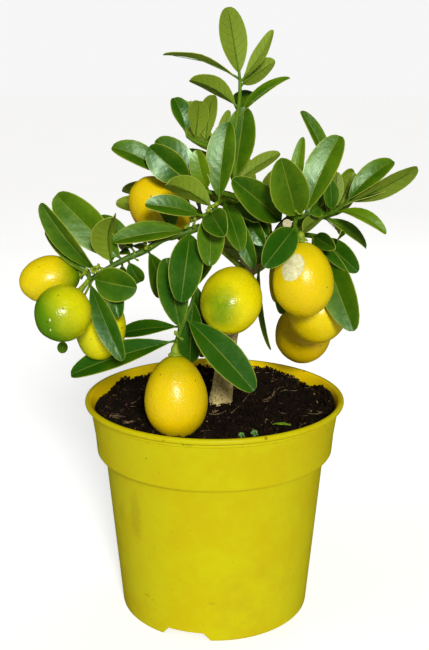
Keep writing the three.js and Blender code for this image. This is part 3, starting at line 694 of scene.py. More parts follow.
class Graph:
    """Adds and links the nodes of one material or group. Its patterns are looked up at its place."""

    def __init__(self, tree, place=None):
        self.tree = tree
        self.place = place

    def fill(self, node, inputs):
        """Links or sets inputs of a node. A colour is given without its alpha."""
        for key, value in inputs.items():
            socket = node.inputs[key]
            if isinstance(value, bpy.types.NodeSocket):
                self.tree.links.new(value, socket)
            elif socket.type == "RGBA":
                socket.default_value = (*value, 1.0)
            else:
                socket.default_value = value

    def node(self, kind, inputs=None, **settings):
        made = self.tree.nodes.new(kind)
        for name, value in settings.items():
            setattr(made, name, value)
        self.fill(made, inputs or {})
        return made

    def group(self, group, inputs):
        return self.node("ShaderNodeGroup", inputs, node_tree=group).outputs

    def math(self, operation, a, b=0.0, clamp=False):
        return self.node("ShaderNodeMath", {0: a, 1: b}, operation=operation, use_clamp=clamp).outputs[0]

    def plus(self, a, b, clamp=False):
        return self.math("ADD", a, b, clamp)

    def minus(self, a, b):
        return self.math("SUBTRACT", a, b)

    def times(self, a, b):
        return self.math("MULTIPLY", a, b)

    def vector(self, operation, a, b=(0, 0, 0)):
        """A sum of vectors, or the number that a dot product or a length gives."""
        made = self.node("ShaderNodeVectorMath", {0: a, 1: b}, operation=operation)
        return made.outputs["Value" if operation in ("DOT_PRODUCT", "LENGTH") else "Vector"]

    def ramp(self, value, low, high, to_low=0.0, to_high=1.0):
        """Value taken smoothly from between low and high to between to_low and to_high."""
        limits = {"Value": value, "From Min": low, "From Max": high, "To Min": to_low, "To Max": to_high}
        return self.node("ShaderNodeMapRange", limits, interpolation_type="SMOOTHSTEP").outputs[0]

    def mix(self, share, a, b):
        return self.node("ShaderNodeMix", {0: share, 6: a, 7: b}, data_type="RGBA").outputs[2]

    def noise(self, scale, detail=3.0, roughness=0.55, place=None):
        look = {"Vector": place or self.place, "Scale": scale, "Detail": detail, "Roughness": roughness}
        return self.node("ShaderNodeTexNoise", look).outputs["Fac"]

    def mottled(self, coarse, fine, share):
        """Cloudy unevenness about 0.5: a coarse and a fine noise, mixed by the fine one's share."""
        look = {"Place": self.place, "Coarse": coarse, "Fine": fine, "Fine share": share}
        return self.group(mottle_group(), look)["Value"]

    def specks(self, scale, radius, share):
        """Scattered small spots of random size: 1 inside a spot and 0 outside."""
        look = {"Place": self.place, "Scale": scale, "Radius": radius, "Share": share}
        return self.group(specks_group(), look)["Mask"]


class Finish(Graph):
    """One material with its shader. Its patterns follow the place on the object."""

    def __init__(self, name, roughness, specular=0.5, **constants):
        self.material = bpy.data.materials.new(name)
        self.material.use_nodes = True
        super().__init__(self.material.node_tree)
        self.place = self.node("ShaderNodeTexCoord").outputs["Object"]
        self.set("Roughness", roughness)
        self.set("Specular IOR Level", specular)
        for key, value in constants.items():
            self.set(key.replace("_", " "), value)

    def set(self, key, value):
        """Links or sets an input of the shader."""
        self.fill(self.tree.nodes["Principled BSDF"], {key: value})

    def height(self):
        return self.node("ShaderNodeSeparateXYZ", {0: self.place}).outputs["Z"]

    def tone(self):
        return self.node("ShaderNodeAttribute", attribute_name="tone").outputs["Fac"]

    def bump(self, height, strength, distance):
        look = {"Height": height, "Strength": strength, "Distance": distance}
        self.set("Normal", self.node("ShaderNodeBump", look).outputs[0])


def node_group(name, inputs, outputs, wire):
    """A node group, built once from the names and kinds of its sockets. Wire adds what is between them."""
    if name in bpy.data.node_groups:
        return bpy.data.node_groups[name]
    group = bpy.data.node_groups.new(name, "ShaderNodeTree")
    for in_out, sockets in (("INPUT", inputs), ("OUTPUT", outputs)):
        for label, kind in sockets.items():
            group.interface.new_socket(label, in_out=in_out, socket_type="NodeSocket" + kind)
    graph = Graph(group)
    given = graph.node("NodeGroupInput").outputs
    if "Place" in inputs:
        graph.place = given["Place"]
    graph.node("NodeGroupOutput", wire(graph, given))
    return group


def mottle_group():
    def wire(graph, given):
        coarse = graph.noise(given["Coarse"])
        fine = graph.noise(given["Fine"], 4.0)
        return {"Value": graph.plus(coarse, graph.times(graph.minus(fine, coarse), given["Fine share"]))}

    inputs = {"Place": "Vector", "Coarse": "Float", "Fine": "Float", "Fine share": "Float"}
    return node_group("Mottle", inputs, {"Value": "Float"}, wire)


def specks_group():
    def wire(graph, given):
        place = {"Vector": given["Place"], "Scale": given["Scale"]}
        cells = graph.node("ShaderNodeTexVoronoi", place).outputs
        lot = graph.node("ShaderNodeSeparateColor", {"Color": cells["Color"]}).outputs
        chosen = graph.math("LESS_THAN", lot[0], given["Share"])
        near = graph.minus(graph.times(lot[1], given["Radius"]), cells["Distance"])
        return {"Mask": graph.times(graph.ramp(near, -0.02, 0.03), chosen)}

    inputs = {"Place": "Vector", "Scale": "Float", "Radius": "Float", "Share": "Float"}
    return node_group("Specks", inputs, {"Mask": "Float"}, wire)


def oval_reach(finish, centre, half, tilt):
    """How far out a place is in an oval seen about a centre: 0 in its middle and 1 at its edge.

    The oval is tilted clockwise in degrees, and all that lies behind it is far outside.
    """
    way = (EYE - centre).normalized()
    side = UP.cross(way).normalized()
    rise = way.cross(side).normalized()
    offset = finish.vector("SUBTRACT", finish.place, centre * MM)
    behind = finish.math("LESS_THAN", finish.vector("DOT_PRODUCT", offset, way), -0.012)
    total = finish.times(behind, 9)
    for axis, size in ((side, half[0]), (rise, half[1])):
        axis = Quaternion(way, -math.radians(tilt)) @ axis
        along = finish.vector("DOT_PRODUCT", offset, axis / (size * MM))
        total = finish.plus(total, finish.times(along, along))
    return total


# Pot

# Radius and height of each ring, up the outside from the foot and down the inside
POT_RINGS = (
    (62.6, 6.0), (62.6, 0.5), (62.9, 0.0), (63.9, 0.0), (64.3, 0.4), (64.5, 1.2), (65.5, 12.6),
    (68.2, 42.0), (71.2, 75.0), (74.3, 109.4), (74.6, 110.6), (75.3, 111.1), (78.2, 111.2), (79.2, 111.4),
    (79.7, 112.2), (79.8, 113.4), (80.7, 124.2), (82.0, 133.0), (83.0, 139.8), (83.2, 141.4),
    (83.9, 141.9), (84.1, 142.6), (83.9, 143.3), (84.4, 144.0), (85.9, 144.4), (86.7, 145.0),
    (87.0, 145.9), (86.9, 146.9), (86.4, 147.6), (85.6, 148.0), (84.8, 148.0), (84.1, 147.7),
    (83.5, 147.1), (83.0, 146.2), (82.2, 144.2), (81.4, 141.0), (78.9, 124.2), (77.8, 113.4),
    (72.6, 112.0), (62.9, 9.4), (61.6, 7.8),
)
OUTER_WALL = slice(6, 24)
POT_LIP_RADIUS = 87.0
POT_HEIGHT = 148.0
POT_STEP = 110.9
POT_FLOOR = 8.0
FOOT_GAPS = (-17, 103, 223)
FOOT_GAP_MIDDLE = Vector((0, -60.4, 2.3))
FOOT_GAP_SIZE = Vector((35, 24, 6.6))
FOOT_GAP_TOP = 24.1
DRAIN_RADIUS = 4.5
DRAIN_DEPTH = 8
DRAIN_MIDDLE = 7
DRAIN_CIRCLE = 38.0
POT_DIRT = (0.10, 0.05, 0.01)
# Painted shade for the groove at the step
POT_STEP_SHADE = (0.22, 0.17, 0.004)
POT_STAIN = (0.24, 0.17, 0.004)

# Marks on the plastic: where their middle is seen, half their width and height, their tilt and how
# strong they are
POT_MARKS = (
    ((136, 517), (4.2, 19), -4, 0.34), ((133, 497), (0.35, 0.5), 0, 0.8),
    ((141, 496), (0.6, 0.4), 0, 0.8), ((133, 505), (0.35, 0.6), 0, 0.7), ((122, 512), (2.5, 9), 0, 0.2),
    ((147, 595), (2.4, 0.9), 35, 0.6), ((153, 600), (1.1, 0.5), 20, 0.6),
    ((180, 580), (1.5, 0.7), 0, 0.4), ((211, 603.5), (3.4, 1.1), 5, 0.45),
    ((155, 610), (0.7, 0.5), 0, 0.7), ((188, 445.5), (3.4, 0.8), 4, 0.55),
    ((242.5, 446), (0.4, 1.0), 0, 0.8), ((147, 443), (2.0, 0.4), 8, 0.5),
    ((275, 443), (2.2, 0.4), -6, 0.4), ((266, 489), (0.5, 0.4), 0, 0.7),
)


def on_pot(across, down):
    """The place on the front of the pot that shows at a place of the picture."""
    radii, heights = zip(*POT_RINGS[OUTER_WALL])
    for step in range(1000):
        point = seen(across, down, -100 + 0.1 * step)
        if math.hypot(point.x, point.y) < np.interp(point.z, heights, radii):
            return point
    raise ValueError("no place on the pot shows there")


def foot_gap(turn):
    """A wedge as wide as one gap in the foot, wider at the bottom than at the top."""
    deselect()
    bpy.ops.mesh.primitive_cube_add(size=1, location=FOOT_GAP_MIDDLE * MM)
    wedge = named("foot_gap")
    wedge.scale = FOOT_GAP_SIZE * MM
    settle(wedge)
    choose(wedge, lambda co: co.z > FOOT_GAP_MIDDLE.z * MM)
    with edit_mode():
        narrow = (FOOT_GAP_TOP / FOOT_GAP_SIZE.x, 1, 1)
        bpy.ops.transform.resize(value=narrow, center_override=(0, 0, 0))
    wedge.rotation_euler.z = math.radians(turn)
    settle(wedge)
    return wedge


def drain(x, y):
    deselect()
    middle = Vector((x, y, DRAIN_MIDDLE)) * MM
    bpy.ops.mesh.primitive_cylinder_add(
        vertices=24, radius=DRAIN_RADIUS * MM, depth=DRAIN_DEPTH * MM, location=middle
    )
    hole = named("drain")
    settle(hole)
    return hole


def pot_plastic(name, clean, scuff):
    """Satin plastic: uneven, worn low down, with dirt near the lip, painted shade along the step and marks.
    """
    finish = Finish(name, 0.42, 0.15, Subsurface_Weight=0.12, Subsurface_Radius=(0.006, 0.004, 0.001))
    mottle = finish.mottled(28, 160, 0.4)
    height = finish.height()
    dull = (clean[0] * 0.98, clean[1] * 0.88, clean[2])
    colour = finish.mix(finish.ramp(mottle, 0.35, 0.65), dull, clean)
    low = finish.times(finish.ramp(height, 0.0, 0.11, 1.0, 0.0), 0.06)
    worn = finish.ramp(finish.plus(finish.noise(9, 6, 0.65), low), 0.60, 0.78)
    colour = finish.mix(finish.times(worn, 0.28), colour, scuff)
    near_lip = finish.plus(finish.times(finish.ramp(height, 0.112, 0.145), 0.5), 0.12)
    dirt = finish.times(finish.specks(260, 0.28, 0.10), near_lip)
    colour = finish.mix(dirt, colour, POT_DIRT)
    # Painted shade: a thin darker line along the groove at the step, where the band above shades it
    below_step = finish.math("ABSOLUTE", finish.minus(height, POT_STEP * MM))
    colour = finish.mix(finish.ramp(below_step, 0.0003, 0.0011, 0.55, 0.0), colour, POT_STEP_SHADE)
    ragged = finish.times(finish.noise(420, 6, 0.85), 3.2)
    for middle, half, tilt, share in POT_MARKS:
        reach = finish.plus(oval_reach(finish, on_pot(*middle), half, tilt), ragged)
        colour = finish.mix(finish.ramp(reach, 1.1, 2.7, share, 0.0), colour, POT_STAIN)
    finish.set("Base Color", colour)
    finish.set("Roughness", finish.plus(finish.ramp(mottle, 0.3, 0.7, 0.34, 0.50), finish.times(worn, 0.2)))
    finish.bump(finish.plus(finish.times(finish.noise(900, 2), 0.3), mottle), 0.25, 0.0003)
    return finish.material


class LEMON_OT_pot(bpy.types.Operator):
    """Model the yellow plastic pot with its foot gaps, drain holes and rolled lip"""

    bl_idname = "lemon.pot"
    bl_label = "Pot"

    def execute(self, context):
        settings = context.scene.lemon_pot
        wide = settings.lip_radius / (POT_LIP_RADIUS * MM)
        tall = settings.height / (POT_HEIGHT * MM)
        rings = [(radius * wide, height * tall) for radius, height in POT_RINGS]
        pot = raised("pot_moulded", rings, settings.segments)
        cutters = [foot_gap(turn) for turn in FOOT_GAPS] + [drain(0, 0)]
        cutters += [drain(*on_circle(i * math.pi / 3, DRAIN_CIRCLE)) for i in range(6)]
        cutter = joined(cutters, "pot_cutter")
        add_modifier(pot, "BOOLEAN", object=cutter, operation="DIFFERENCE", solver="EXACT")
        bpy.data.objects.remove(cutter)
        outside = pot_plastic("pot_plastic", settings.plastic, settings.scuff)
        dress(pot, outside, pot_plastic("pot_plastic_inside_painted_light", settings.inside, settings.scuff))
        # Faces of the inner wall take the copy of the plastic with painted light
        for face in pot.data.polygons:
            outward = Vector((face.center.x, face.center.y, 0)).normalized()
            inner = face.normal.dot(outward) < -0.5 and face.center.z > POT_FLOOR * MM
            face.material_index = 1 if inner else 0
        smooth(pot, 32)
        part_of_tree(pot, "pot")
        return {"FINISHED"}


# Soil

# Radius and height of each ring of the soil's wall, from the pot's floor up
SOIL_WALL = ((62.3, 8.2), (72.2, 112.0), (77.3, 114.0), (78.4, 124.2), (80.6, 140.5), (80.4, 141.5))
SOIL_TOP_RING = 1.3
SOIL_TOP_RINGS = 60
LUMPY_RADIUS = 80
# Size and height of the lumps, in metres
PEAT_LUMPS = ((0.01, 0.005), (0.0042, 0.0046), (0.0017, 0.0022))
PEAT_BROWN = (0.075, 0.036, 0.013)
PEAT_PALE = (0.30, 0.19, 0.09)


def peat_material(peat):
    finish = Finish("peat", 0.95, 0.12)
    lumps = finish.mottled(120, 700, 0.5)
    colour = finish.mix(finish.ramp(lumps, 0.36, 0.62), shaded(peat, 0.35), peat)
    brown = finish.ramp(finish.noise(260, 5, 0.7), 0.55, 0.72)
    brown = finish.plus(brown, finish.ramp(finish.tone(), 0.85, 1.0), clamp=True)
    colour = finish.mix(finish.times(brown, 0.6), colour, PEAT_BROWN)
    finish.set("Base Color", finish.mix(finish.specks(420, 0.34, 0.05), colour, PEAT_PALE))
    finish.bump(finish.plus(lumps, brown), 0.9, 0.0012)
    return finish.material


def fibre_material(fibre):
    finish = Finish("dry_fibre", 0.8)
    shade = finish.ramp(finish.noise(150), 0.3, 0.7)
    finish.set("Base Color", finish.mix(shade, shaded(fibre, 0.4), fibre))
    return finish.material


def soil_body():
    """The soil as one body: its wall and floor follow the pot, and its top is uneven."""
    edge = SOIL_WALL[-1][0]
    rings = [(edge - SOIL_TOP_RING * i, SOIL_LEVEL) for i in range(1, SOIL_TOP_RINGS + 1)]
    body = raised("soil_body", [*SOIL_WALL, *rings], 240)
    place = points_of(body.data) / MM
    top = place[:, 2] > SOIL_LEVEL - 1.5
    radius = np.hypot(place[:, 0], place[:, 1])
    height = soil_height(place[:, 0], place[:, 1])
    place[top, 2] = height[top]
    body.data.vertices.foreach_set("co", (place * MM).ravel())
    group = body.vertex_groups.new(name="top")
    group.add([int(i) for i in np.flatnonzero(top & (radius < LUMPY_RADIUS))], 1.0, "REPLACE")
    for size, strength in PEAT_LUMPS:
        roughen(body, "peat_lumps", size, strength, direction="Z", vertex_group="top")
    return body


def loose_crumbs(count):
    """Loose crumbs of peat, one shape copied and squashed each its own way."""
    draw = seeded("crumbs")
    deselect()
    bpy.ops.mesh.primitive_ico_sphere_add(subdivisions=1, radius=1)
    crumb = named("crumb")
    with edit_mode():
        bpy.ops.transform.vertex_random(offset=0.45, seed=4)
    made = []
    for i in range(count):
        by_wall = i % 4 == 0
        angle = 2 * math.pi * draw()
        far = 74.5 + 4.5 * draw() if by_wall else 78 * math.sqrt(draw())
        size = 0.5 + 0.9 * draw() ** 2 if by_wall else 0.35 + 1.0 * draw() ** 2
        lift = 0.3 + (2.4 if by_wall else 1.1) * draw()
        copy = own_copy(crumb)
        copy.location = on_soil(*on_circle(angle, far), lift) * MM
        copy.rotation_euler = (6.3 * draw(), 6.3 * draw(), 6.3 * draw())
        stretch = 0.8 + 0.9 * draw()
        copy.scale = Vector((stretch, 1, 0.5 + 0.5 * draw())) * size * MM
        set_tone(copy, draw())
        made.append(copy)
    bpy.data.objects.remove(crumb)
    loose = joined(made, "crumbs")
    settle(loose)
    return loose


# Long fibres that lie on the soil, from one seen place to another, and tufts of short fibres: where they
# are seen, how many, and how wide, long and upright they are
LONG_FIBRES = (
    ((262, 401), (283, 388)), ((264, 403), (274, 393)), ((254, 374), (269, 376)),
    ((284, 393), (301, 390)), ((243, 402), (249, 392)), ((209, 414), (224, 411)),
    ((231, 413), (239, 408)), ((271, 384), (277, 382)), ((236, 378), (245, 371)),
    ((306, 423), (300, 431)), ((96, 407), (104, 413)), ((131, 405), (140, 399)),
)
FIBRE_TUFTS = (
    ((300, 376), 34, 9, 7, 0.7), ((290, 378), 12, 6, 5, 0.4), ((311, 381), 12, 4, 6, 0.8),
    ((113, 418), 30, 7, 5, 0.1), ((101, 409), 14, 4, 4, 0.1), ((128, 424), 12, 5, 4, 0.1),
    ((321, 413), 10, 4, 4, 0.2), ((224, 405), 12, 5, 3, 0.1), ((214, 411), 12, 5, 3, 0.1),
)
SEEN_SOIL = 142.0
FIBRE_STEPS = 6
FIBRE_REACH = 79
FIBRE_LIFT = 1.3


def soil_seen(across, down):
    """The place of the soil that shows at a place of the picture, as x and y in millimetres."""
    near, far = seen(across, down, -100), seen(across, down, 100)
    return near.lerp(far, (SEEN_SOIL - near.z) / (far.z - near.z)).xy


def fibre_run(start, way, length, radius, rise, bend):
    """A thin curved fibre over the soil; its end rises from the soil by rise times its length."""
    run = []
    x, y = start
    for i in range(FIBRE_STEPS + 1):
        share = i / FIBRE_STEPS
        if math.hypot(x, y) < FIBRE_REACH:
            run.append((on_soil(x, y, FIBRE_LIFT + rise * length * share), radius * (1 - 0.5 * share)))
        step = length / FIBRE_STEPS
        x, y = x + step * math.cos(way), y + step * math.sin(way)
        way += bend / FIBRE_STEPS
    return run


def fibres_on(count):
    """Thin dry fibres over the peat: long single ones, tufts and loose bits."""
    draw = seeded("fibres")
    runs = []
    for start, end in LONG_FIBRES:
        a, b = soil_seen(*start), soil_seen(*end)
        way = math.atan2(b.y - a.y, b.x - a.x) - 0.2
        runs.append(fibre_run(a, way, (b - a).length, 0.17, 0.02, 0.4))
    for middle, many, spread, length, rise in FIBRE_TUFTS:
        for _ in range(many):
            start = soil_seen(*middle) + Vector((draw() - 0.5, draw() - 0.5)) * spread
            size = length * (0.4 + 0.8 * draw())
            lean = rise * (0.3 + draw())
            radius, bend = 0.08 + 0.09 * draw(), 3 * draw() - 1.5
            runs.append(fibre_run(start, 6.3 * draw(), size, radius, lean, bend))
    for _ in range(count):
        angle, far = 2 * math.pi * draw(), 76 * math.sqrt(draw())
        size = 2 + 5 * draw()
        radius, rise, bend = 0.07 + 0.07 * draw(), 0.1 * draw(), 3 * draw() - 1.5
        runs.append(fibre_run(on_circle(angle, far), 6.3 * draw(), size, radius, rise, bend))
    return tubes("fibres", [run for run in runs if len(run) > 2], 1)


class LEMON_OT_soil(bpy.types.Operator):
    """Model the crumbly peat with its loose crumbs and fibres"""

    bl_idname = "lemon.soil"
    bl_label = "Soil"

    def execute(self, context):
        settings = context.scene.lemon_soil
        body = soil_body()
        peat, fibre = peat_material(settings.peat), fibre_material(settings.fibre)
        crumbs, fibres = loose_crumbs(settings.crumbs), fibres_on(settings.fibres)
        dress(body, peat)
        dress(crumbs, peat)
        dress(fibres, fibre)
        soil = joined([body, crumbs, fibres], "soil_crumbly")
        smooth(soil, 24)
        part_of_tree(soil, "soil")
        return {"FINISHED"}


# Trunk

# Size of the furrows in metres, and their share of the bark's depth
FURROWS = ((0.006, 1.0), (0.0022, 0.55))
BARK_FURROW = (0.26, 0.22, 0.18)
BARK_PATCH = (0.66, 0.56, 0.32)
BARK_SHADED = (0.13, 0.10, 0.05)
BARK_GREEN = (0.16, 0.19, 0.05)
PITH = (0.16, 0.09, 0.03)
SAWN_RADIUS = 2.95
SAWN_THICKNESS = 1.6
BARK_DETAIL = 0.0009


def bark_material(bark):
    """Grey tan bark with furrows and paler patches, with painted shade higher up under the crown and
    greener above that.
    """
    finish = Finish("bark", 0.88, 0.3)
    stretch = finish.node("ShaderNodeMapping", {"Vector": finish.place, "Scale": (1.0, 1.0, 0.6)})
    furrows = finish.noise(640, 6, 0.78, stretch.outputs[0])
    furrowed = [c * share for c, share in zip(bark, BARK_FURROW)]
    colour = finish.mix(finish.ramp(furrows, 0.38, 0.52), furrowed, bark)
    patches = finish.times(finish.ramp(finish.noise(90), 0.45, 0.65), 0.5)
    colour = finish.mix(patches, colour, BARK_PATCH)
    height = finish.height()
    # Painted shade: the bark darkens higher up, where the crown above shades it
    colour = finish.mix(finish.times(finish.ramp(height, 0.16, 0.21), 0.6), colour, BARK_SHADED)
    colour = finish.mix(finish.times(finish.ramp(height, 0.20, 0.27), 0.55), colour, BARK_GREEN)
    finish.set("Base Color", colour)
    finish.bump(furrows, 0.8, 0.0010)
    return finish.material


def sawn_material(sawn, centre):
    """Sawn wood with year rings about its centre and a dark pith."""
    finish = Finish("sawn_wood", 0.75)
    out = finish.vector("LENGTH", finish.vector("SUBTRACT", finish.place, centre))
    wobble = finish.times(finish.noise(500), 0.0006)
    rings = finish.math("SINE", finish.times(finish.plus(out, wobble), 9000))
    colour = finish.mix(finish.ramp(rings, -1, 1), shaded(sawn, 0.6), sawn)
    blots = finish.math("GREATER_THAN", finish.noise(700), 0.58)
    near_pith = finish.ramp(out, 0.0004, 0.0018, 0.85, 0.0)
    finish.set("Base Color", finish.mix(finish.times(blots, near_pith), colour, PITH))
    finish.bump(rings, 0.3, 0.0001)
    return finish.material


def model_sawn_end(sawn):
    """The flat sawn face on the end of the cut limb."""
    line, _ = stem_run(WOOD["cut_limb"], 1)
    end, way = line.at(1), line.way_at_share(1)
    deselect()
    bpy.ops.mesh.primitive_cylinder_add(vertices=32, radius=SAWN_RADIUS * MM, depth=SAWN_THICKNESS * MM)
    face = named("sawn_end")
    face.matrix_world = standing(end + way * 0.1, way)
    settle(face)
    add_modifier(face, "BEVEL", width=0.00035, segments=2)
    dress(face, sawn_material(sawn, end * MM))
    smooth(face, 40)
    return face


class LEMON_OT_trunk(bpy.types.Operator):
    """Grow the trunk and its limbs, with rough bark and one sawn end"""

    bl_idname = "lemon.trunk"
    bl_label = "Trunk"

    def execute(self, context):
        settings = context.scene.lemon_wood
        wood = tubes("trunk_bark", [stem_run(rows, 8)[1] for rows in WOOD.values()], 4)
        add_modifier(wood, "REMESH", mode="VOXEL", voxel_size=BARK_DETAIL)
        add_modifier(wood, "SMOOTH", factor=0.6, iterations=5)
        for size, share in FURROWS:
            roughen(wood, "bark_furrows", size, settings.bark_depth * share)
        dress(wood, bark_material(settings.bark))
        smooth(wood, 180)
        trunk = joined([wood, model_sawn_end(settings.sawn)], "trunk_bark")
        part_of_tree(trunk, "trunk")
        return {"FINISHED"}


# Leaves and twigs

BLADE_STEPS = 14
BLADE_ROWS = 6
BLADE_FOOT = 0.78
BLADE_FOLD = 25.0
PETIOLE = 3.0
# How far the midrib's rod lies below the middle of the blade
RIB_SINK = 0.22
# Turn from face to face, in degrees, from which a blade shows a crease
RIB_CREASE = 33
STEM_STEPS = 6
VEINS = 8.0
MARGIN_WIDTH = 0.04
YELLOWED = (0.80, 0.62, 0.01)
# The first spiral leaf's share of its stem, and the least length of the leaves by rule with their spread
SPIRAL_START = 0.3
SPIRAL_LENGTH = 37.3
FAR_LENGTH = 34
LENGTH_SPREAD = 8
LEAF_GLOSS = (0.75, 1.0, 0.72)
CUP_SIZE = 4.4
SMALL_CUP_SIZE = 1.3
CUP_SHIFT = 0.12

Leaf = namedtuple("Leaf", "foot tip up width arch tone fold", defaults=[BLADE_FOLD])


def blade_foot(slimness):
    """How slowly a blade widens at its foot, for its width over its length. A broad one is blunter."""
    return min(max(1.25 - 1.45 * slimness, 0.58), 0.84)


def blade_shape(share, foot=BLADE_FOOT):
    """Half the width of a blade at a share of its length, as a share of half its width."""
    share = min(max(share, 0.0), 1.0)
    return math.sin(math.pi * share**1.16) ** (foot + (0.44 - foot) * share)


def model_blade():
    """The one blade that all leaves are copied from: 1 long along +X, 2 wide, narrowed by columns."""
    deselect()
    bpy.ops.mesh.primitive_grid_add(
        x_subdivisions=BLADE_STEPS, y_subdivisions=BLADE_ROWS, size=2, location=(0, 0, 0)
    )
    blade = named("blade")
    blade.scale = (0.5, 1, 1)
    blade.location = (0.5, 0, 0)
    settle(blade)
    for column in sorted({round(v.co.x, 5) for v in blade.data.vertices}):
        choose(blade, lambda co: abs(co.x - column) < 1e-4)
        place = (1 - math.cos(math.pi * column)) / 2
        width = max(blade_shape(place), 0.04)
        with edit_mode():
            bpy.ops.transform.translate(value=(place - column, 0, 0))
            bpy.ops.transform.resize(value=(1, width, 1), center_override=(place, 0, 0))
    return blade


def leaf_span(leaf):
    """The way from a leaf's foot to its tip, its length, and the petiole's share of it."""
    span = leaf.tip - leaf.foot
    return span.normalized(), span.length, min(PETIOLE / span.length, 0.2)


def leaf_rib(leaf, place):
    """The middle of a leaf at a share of its whole length, and the way its upper face looks there."""
    along, length, _ = leaf_span(leaf)
    top = (leaf.up - along * leaf.up.dot(along)).normalized()
    slope = 4 * leaf.arch * (1 - 2 * place) / length
    normal = (top - along * slope).normalized()
    point = leaf.foot + along * (length * place) + top * (4 * leaf.arch * place * (1 - place))
    return point, normal


def lay_blade(blade, leaf, draw):
    """A copy of the blade laid along a leaf's rib, folded along it, a little wavy and twisted."""
    copy = own_copy(blade)
    flat = points_of(copy.data)
    along, length, petiole = leaf_span(leaf)
    half = leaf.width / 2
    fold = math.radians(leaf.fold)
    wave, phase, twist = 0.9 * draw(), 2 * math.pi * draw(), math.radians(16 * draw() - 8)
    curl = 0.5 + 0.8 * draw()
    placed = np.empty_like(flat)
    foot = blade_foot(leaf.width / length)
    for i, (x, y, _) in enumerate(flat):
        inner = min(max(x, 0.02), 0.98)
        y *= blade_shape(inner, foot) / blade_shape(inner)
        point, normal = leaf_rib(leaf, petiole + (1 - petiole) * x)
        normal = Quaternion(along, twist * (x - 0.3)) @ normal
        out = y * half
        lift = math.sin(fold) * (math.hypot(out, 0.7) - 0.7)
        lift += wave * math.sin(9 * x + phase + (1.4 if y > 0 else 0)) * (out / half) ** 2 * 0.6
        lift -= curl * (abs(out) / half) ** 4 * 0.6
        placed[i] = point + normal.cross(along) * (out * math.cos(fold)) + normal * lift
    copy.data.vertices.foreach_set("co", (placed * MM).ravel())
    set_tone(copy, leaf.tone)
    return copy


def petiole_run(leaf):
    """The leaf stalk, going on as the midrib under the blade."""
    _, _, petiole = leaf_span(leaf)
    run = []
    for share, radius in ((0, 0.85), (petiole, 0.75), (petiole + 0.12, 0.45), (0.5, 0.3), (0.88, 0.16)):
        point, normal = leaf_rib(leaf, share)
        sink = RIB_SINK if share > petiole else 0.0
        run.append((point - normal * sink, radius))
    return run


def up_for(foot, tip, turn):
    """The way a leaf's upper face looks, for its turn as it is seen."""
    along = (tip - foot).normalized()
    to_eye = (EYE - foot).normalized()
    to_eye = (to_eye - along * to_eye.dot(along)).normalized()
    return Quaternion(along, math.radians(turn)) @ to_eye


def spiral_leaves(line, count, draw):
    """Leaves set round a stem in a spiral. The lower ones lean out furthest."""
    leaves = []
    for i in range(count):
        share = SPIRAL_START + (1 - SPIRAL_START) * i / (count - 1)
        foot, along = line.at_share(share), line.way_at_share(share)
        out = UP.cross(along).normalized()
        out = Quaternion(along, i * GOLDEN_ANGLE + 0.4 * draw()) @ out
        lean = math.radians(66 - 40 * share + 10 * draw())
        way = along * math.cos(lean) + out * math.sin(lean)
        tip = foot + way * (SPIRAL_LENGTH + LENGTH_SPREAD * draw())
        leaves.append(Leaf(foot, tip, along, 17 + 4 * draw(), 3 + 2 * draw(), 0.2 + 0.5 * share))
    return leaves


def far_leaves(line, count, draw):
    """Leaves on the far side of a stem, turned up and down by turns."""
    leaves = []
    for i in range(count):
        share = 0.12 + 0.8 * (i + 0.5) / count
        foot = line.at_share(share)
        rise = (-0.15 if i % 2 else 0.75) + 0.3 * draw()
        way = Vector((0.5 * draw() - 0.25, 1, rise)).normalized()
        way = (way + line.way_at_share(share) * 0.45).normalized()
        tip = foot + way * (FAR_LENGTH + LENGTH_SPREAD * draw())
        up = Vector((0.3 * draw(), 0.2, 1))
        leaves.append(Leaf(foot, tip, up, 16 + 4 * draw(), 2 + 2 * draw(), 0.35))
    return leaves


def leaves_of(twig, line, draw):
    leaves = []
    for place, across, down, depth, width, turn, arch, tone in twig.leaves:
        foot, tip = line.at_row(place), seen(across, down, depth)
        leaves.append(Leaf(foot, tip, up_for(foot, tip, turn), width, arch, tone))
    leaves += far_leaves(line, twig.far, draw)
    return leaves + spiral_leaves(line, twig.spiral, draw)


def fruit_frame(fruit):
    """The way from stalk to blossom end, and the stalk end."""
    axis = Vector(fruit.way).normalized()
    return axis, seen(*fruit.middle) - axis * (fruit.length / 2)


def stalk_run(start, fruit):
    axis, end = fruit_frame(fruit)
    before = end - axis * 4
    line = Line([start, start.lerp(before, 0.5), before, end + axis * 0.3])
    radii = [0.8, 0.7, 0.7, 0.9] if fruit.length < SMALL_FRUIT else [1.5, 1.6, 2.2, 2.9]
    return run_along(line, radii, 12)


def model_calyx():
    """The small five-lobed cup that a fruit sits in, about +Z with its stalk at the top, 1 in radius."""
    deselect()
    bpy.ops.mesh.primitive_circle_add(vertices=20, radius=1.0, fill_type="NGON")
    calyx = named("calyx")
    choose(calyx, lambda co: math.cos(5 * math.atan2(co.y, co.x)) < -0.2)
    with edit_mode():
        bpy.ops.transform.resize(value=(0.72, 0.72, 1), center_override=(0, 0, 0))
        bpy.ops.mesh.select_all(action="SELECT")
        for rise, share in ((0.16, 0.98), (0.22, 0.74), (0.18, 0.62), (0.22, 0.8)):
            raise_ring(rise, share, 0)
    cleaned(calyx)
    return calyx


def model_bud():
    """A small flower bud, longer than wide, with its tip along +Z."""
    deselect()
    bpy.ops.mesh.primitive_ico_sphere_add(subdivisions=2, radius=1)
    bud = named("bud")
    choose(bud, lambda co: co.z > 0.3)
    with edit_mode():
        bpy.ops.transform.resize(value=(0.75, 0.75, 1.5), center_override=(0, 0, 0.3))
    return bud


def copy_at(source, place, way, size):
    """A copy with its +Z turned to the given way. Place and size are in millimetres."""
    copy = own_copy(source)
    copy.matrix_world = standing(place, way) @ Matrix.Scale(size * MM, 4)
    return copy


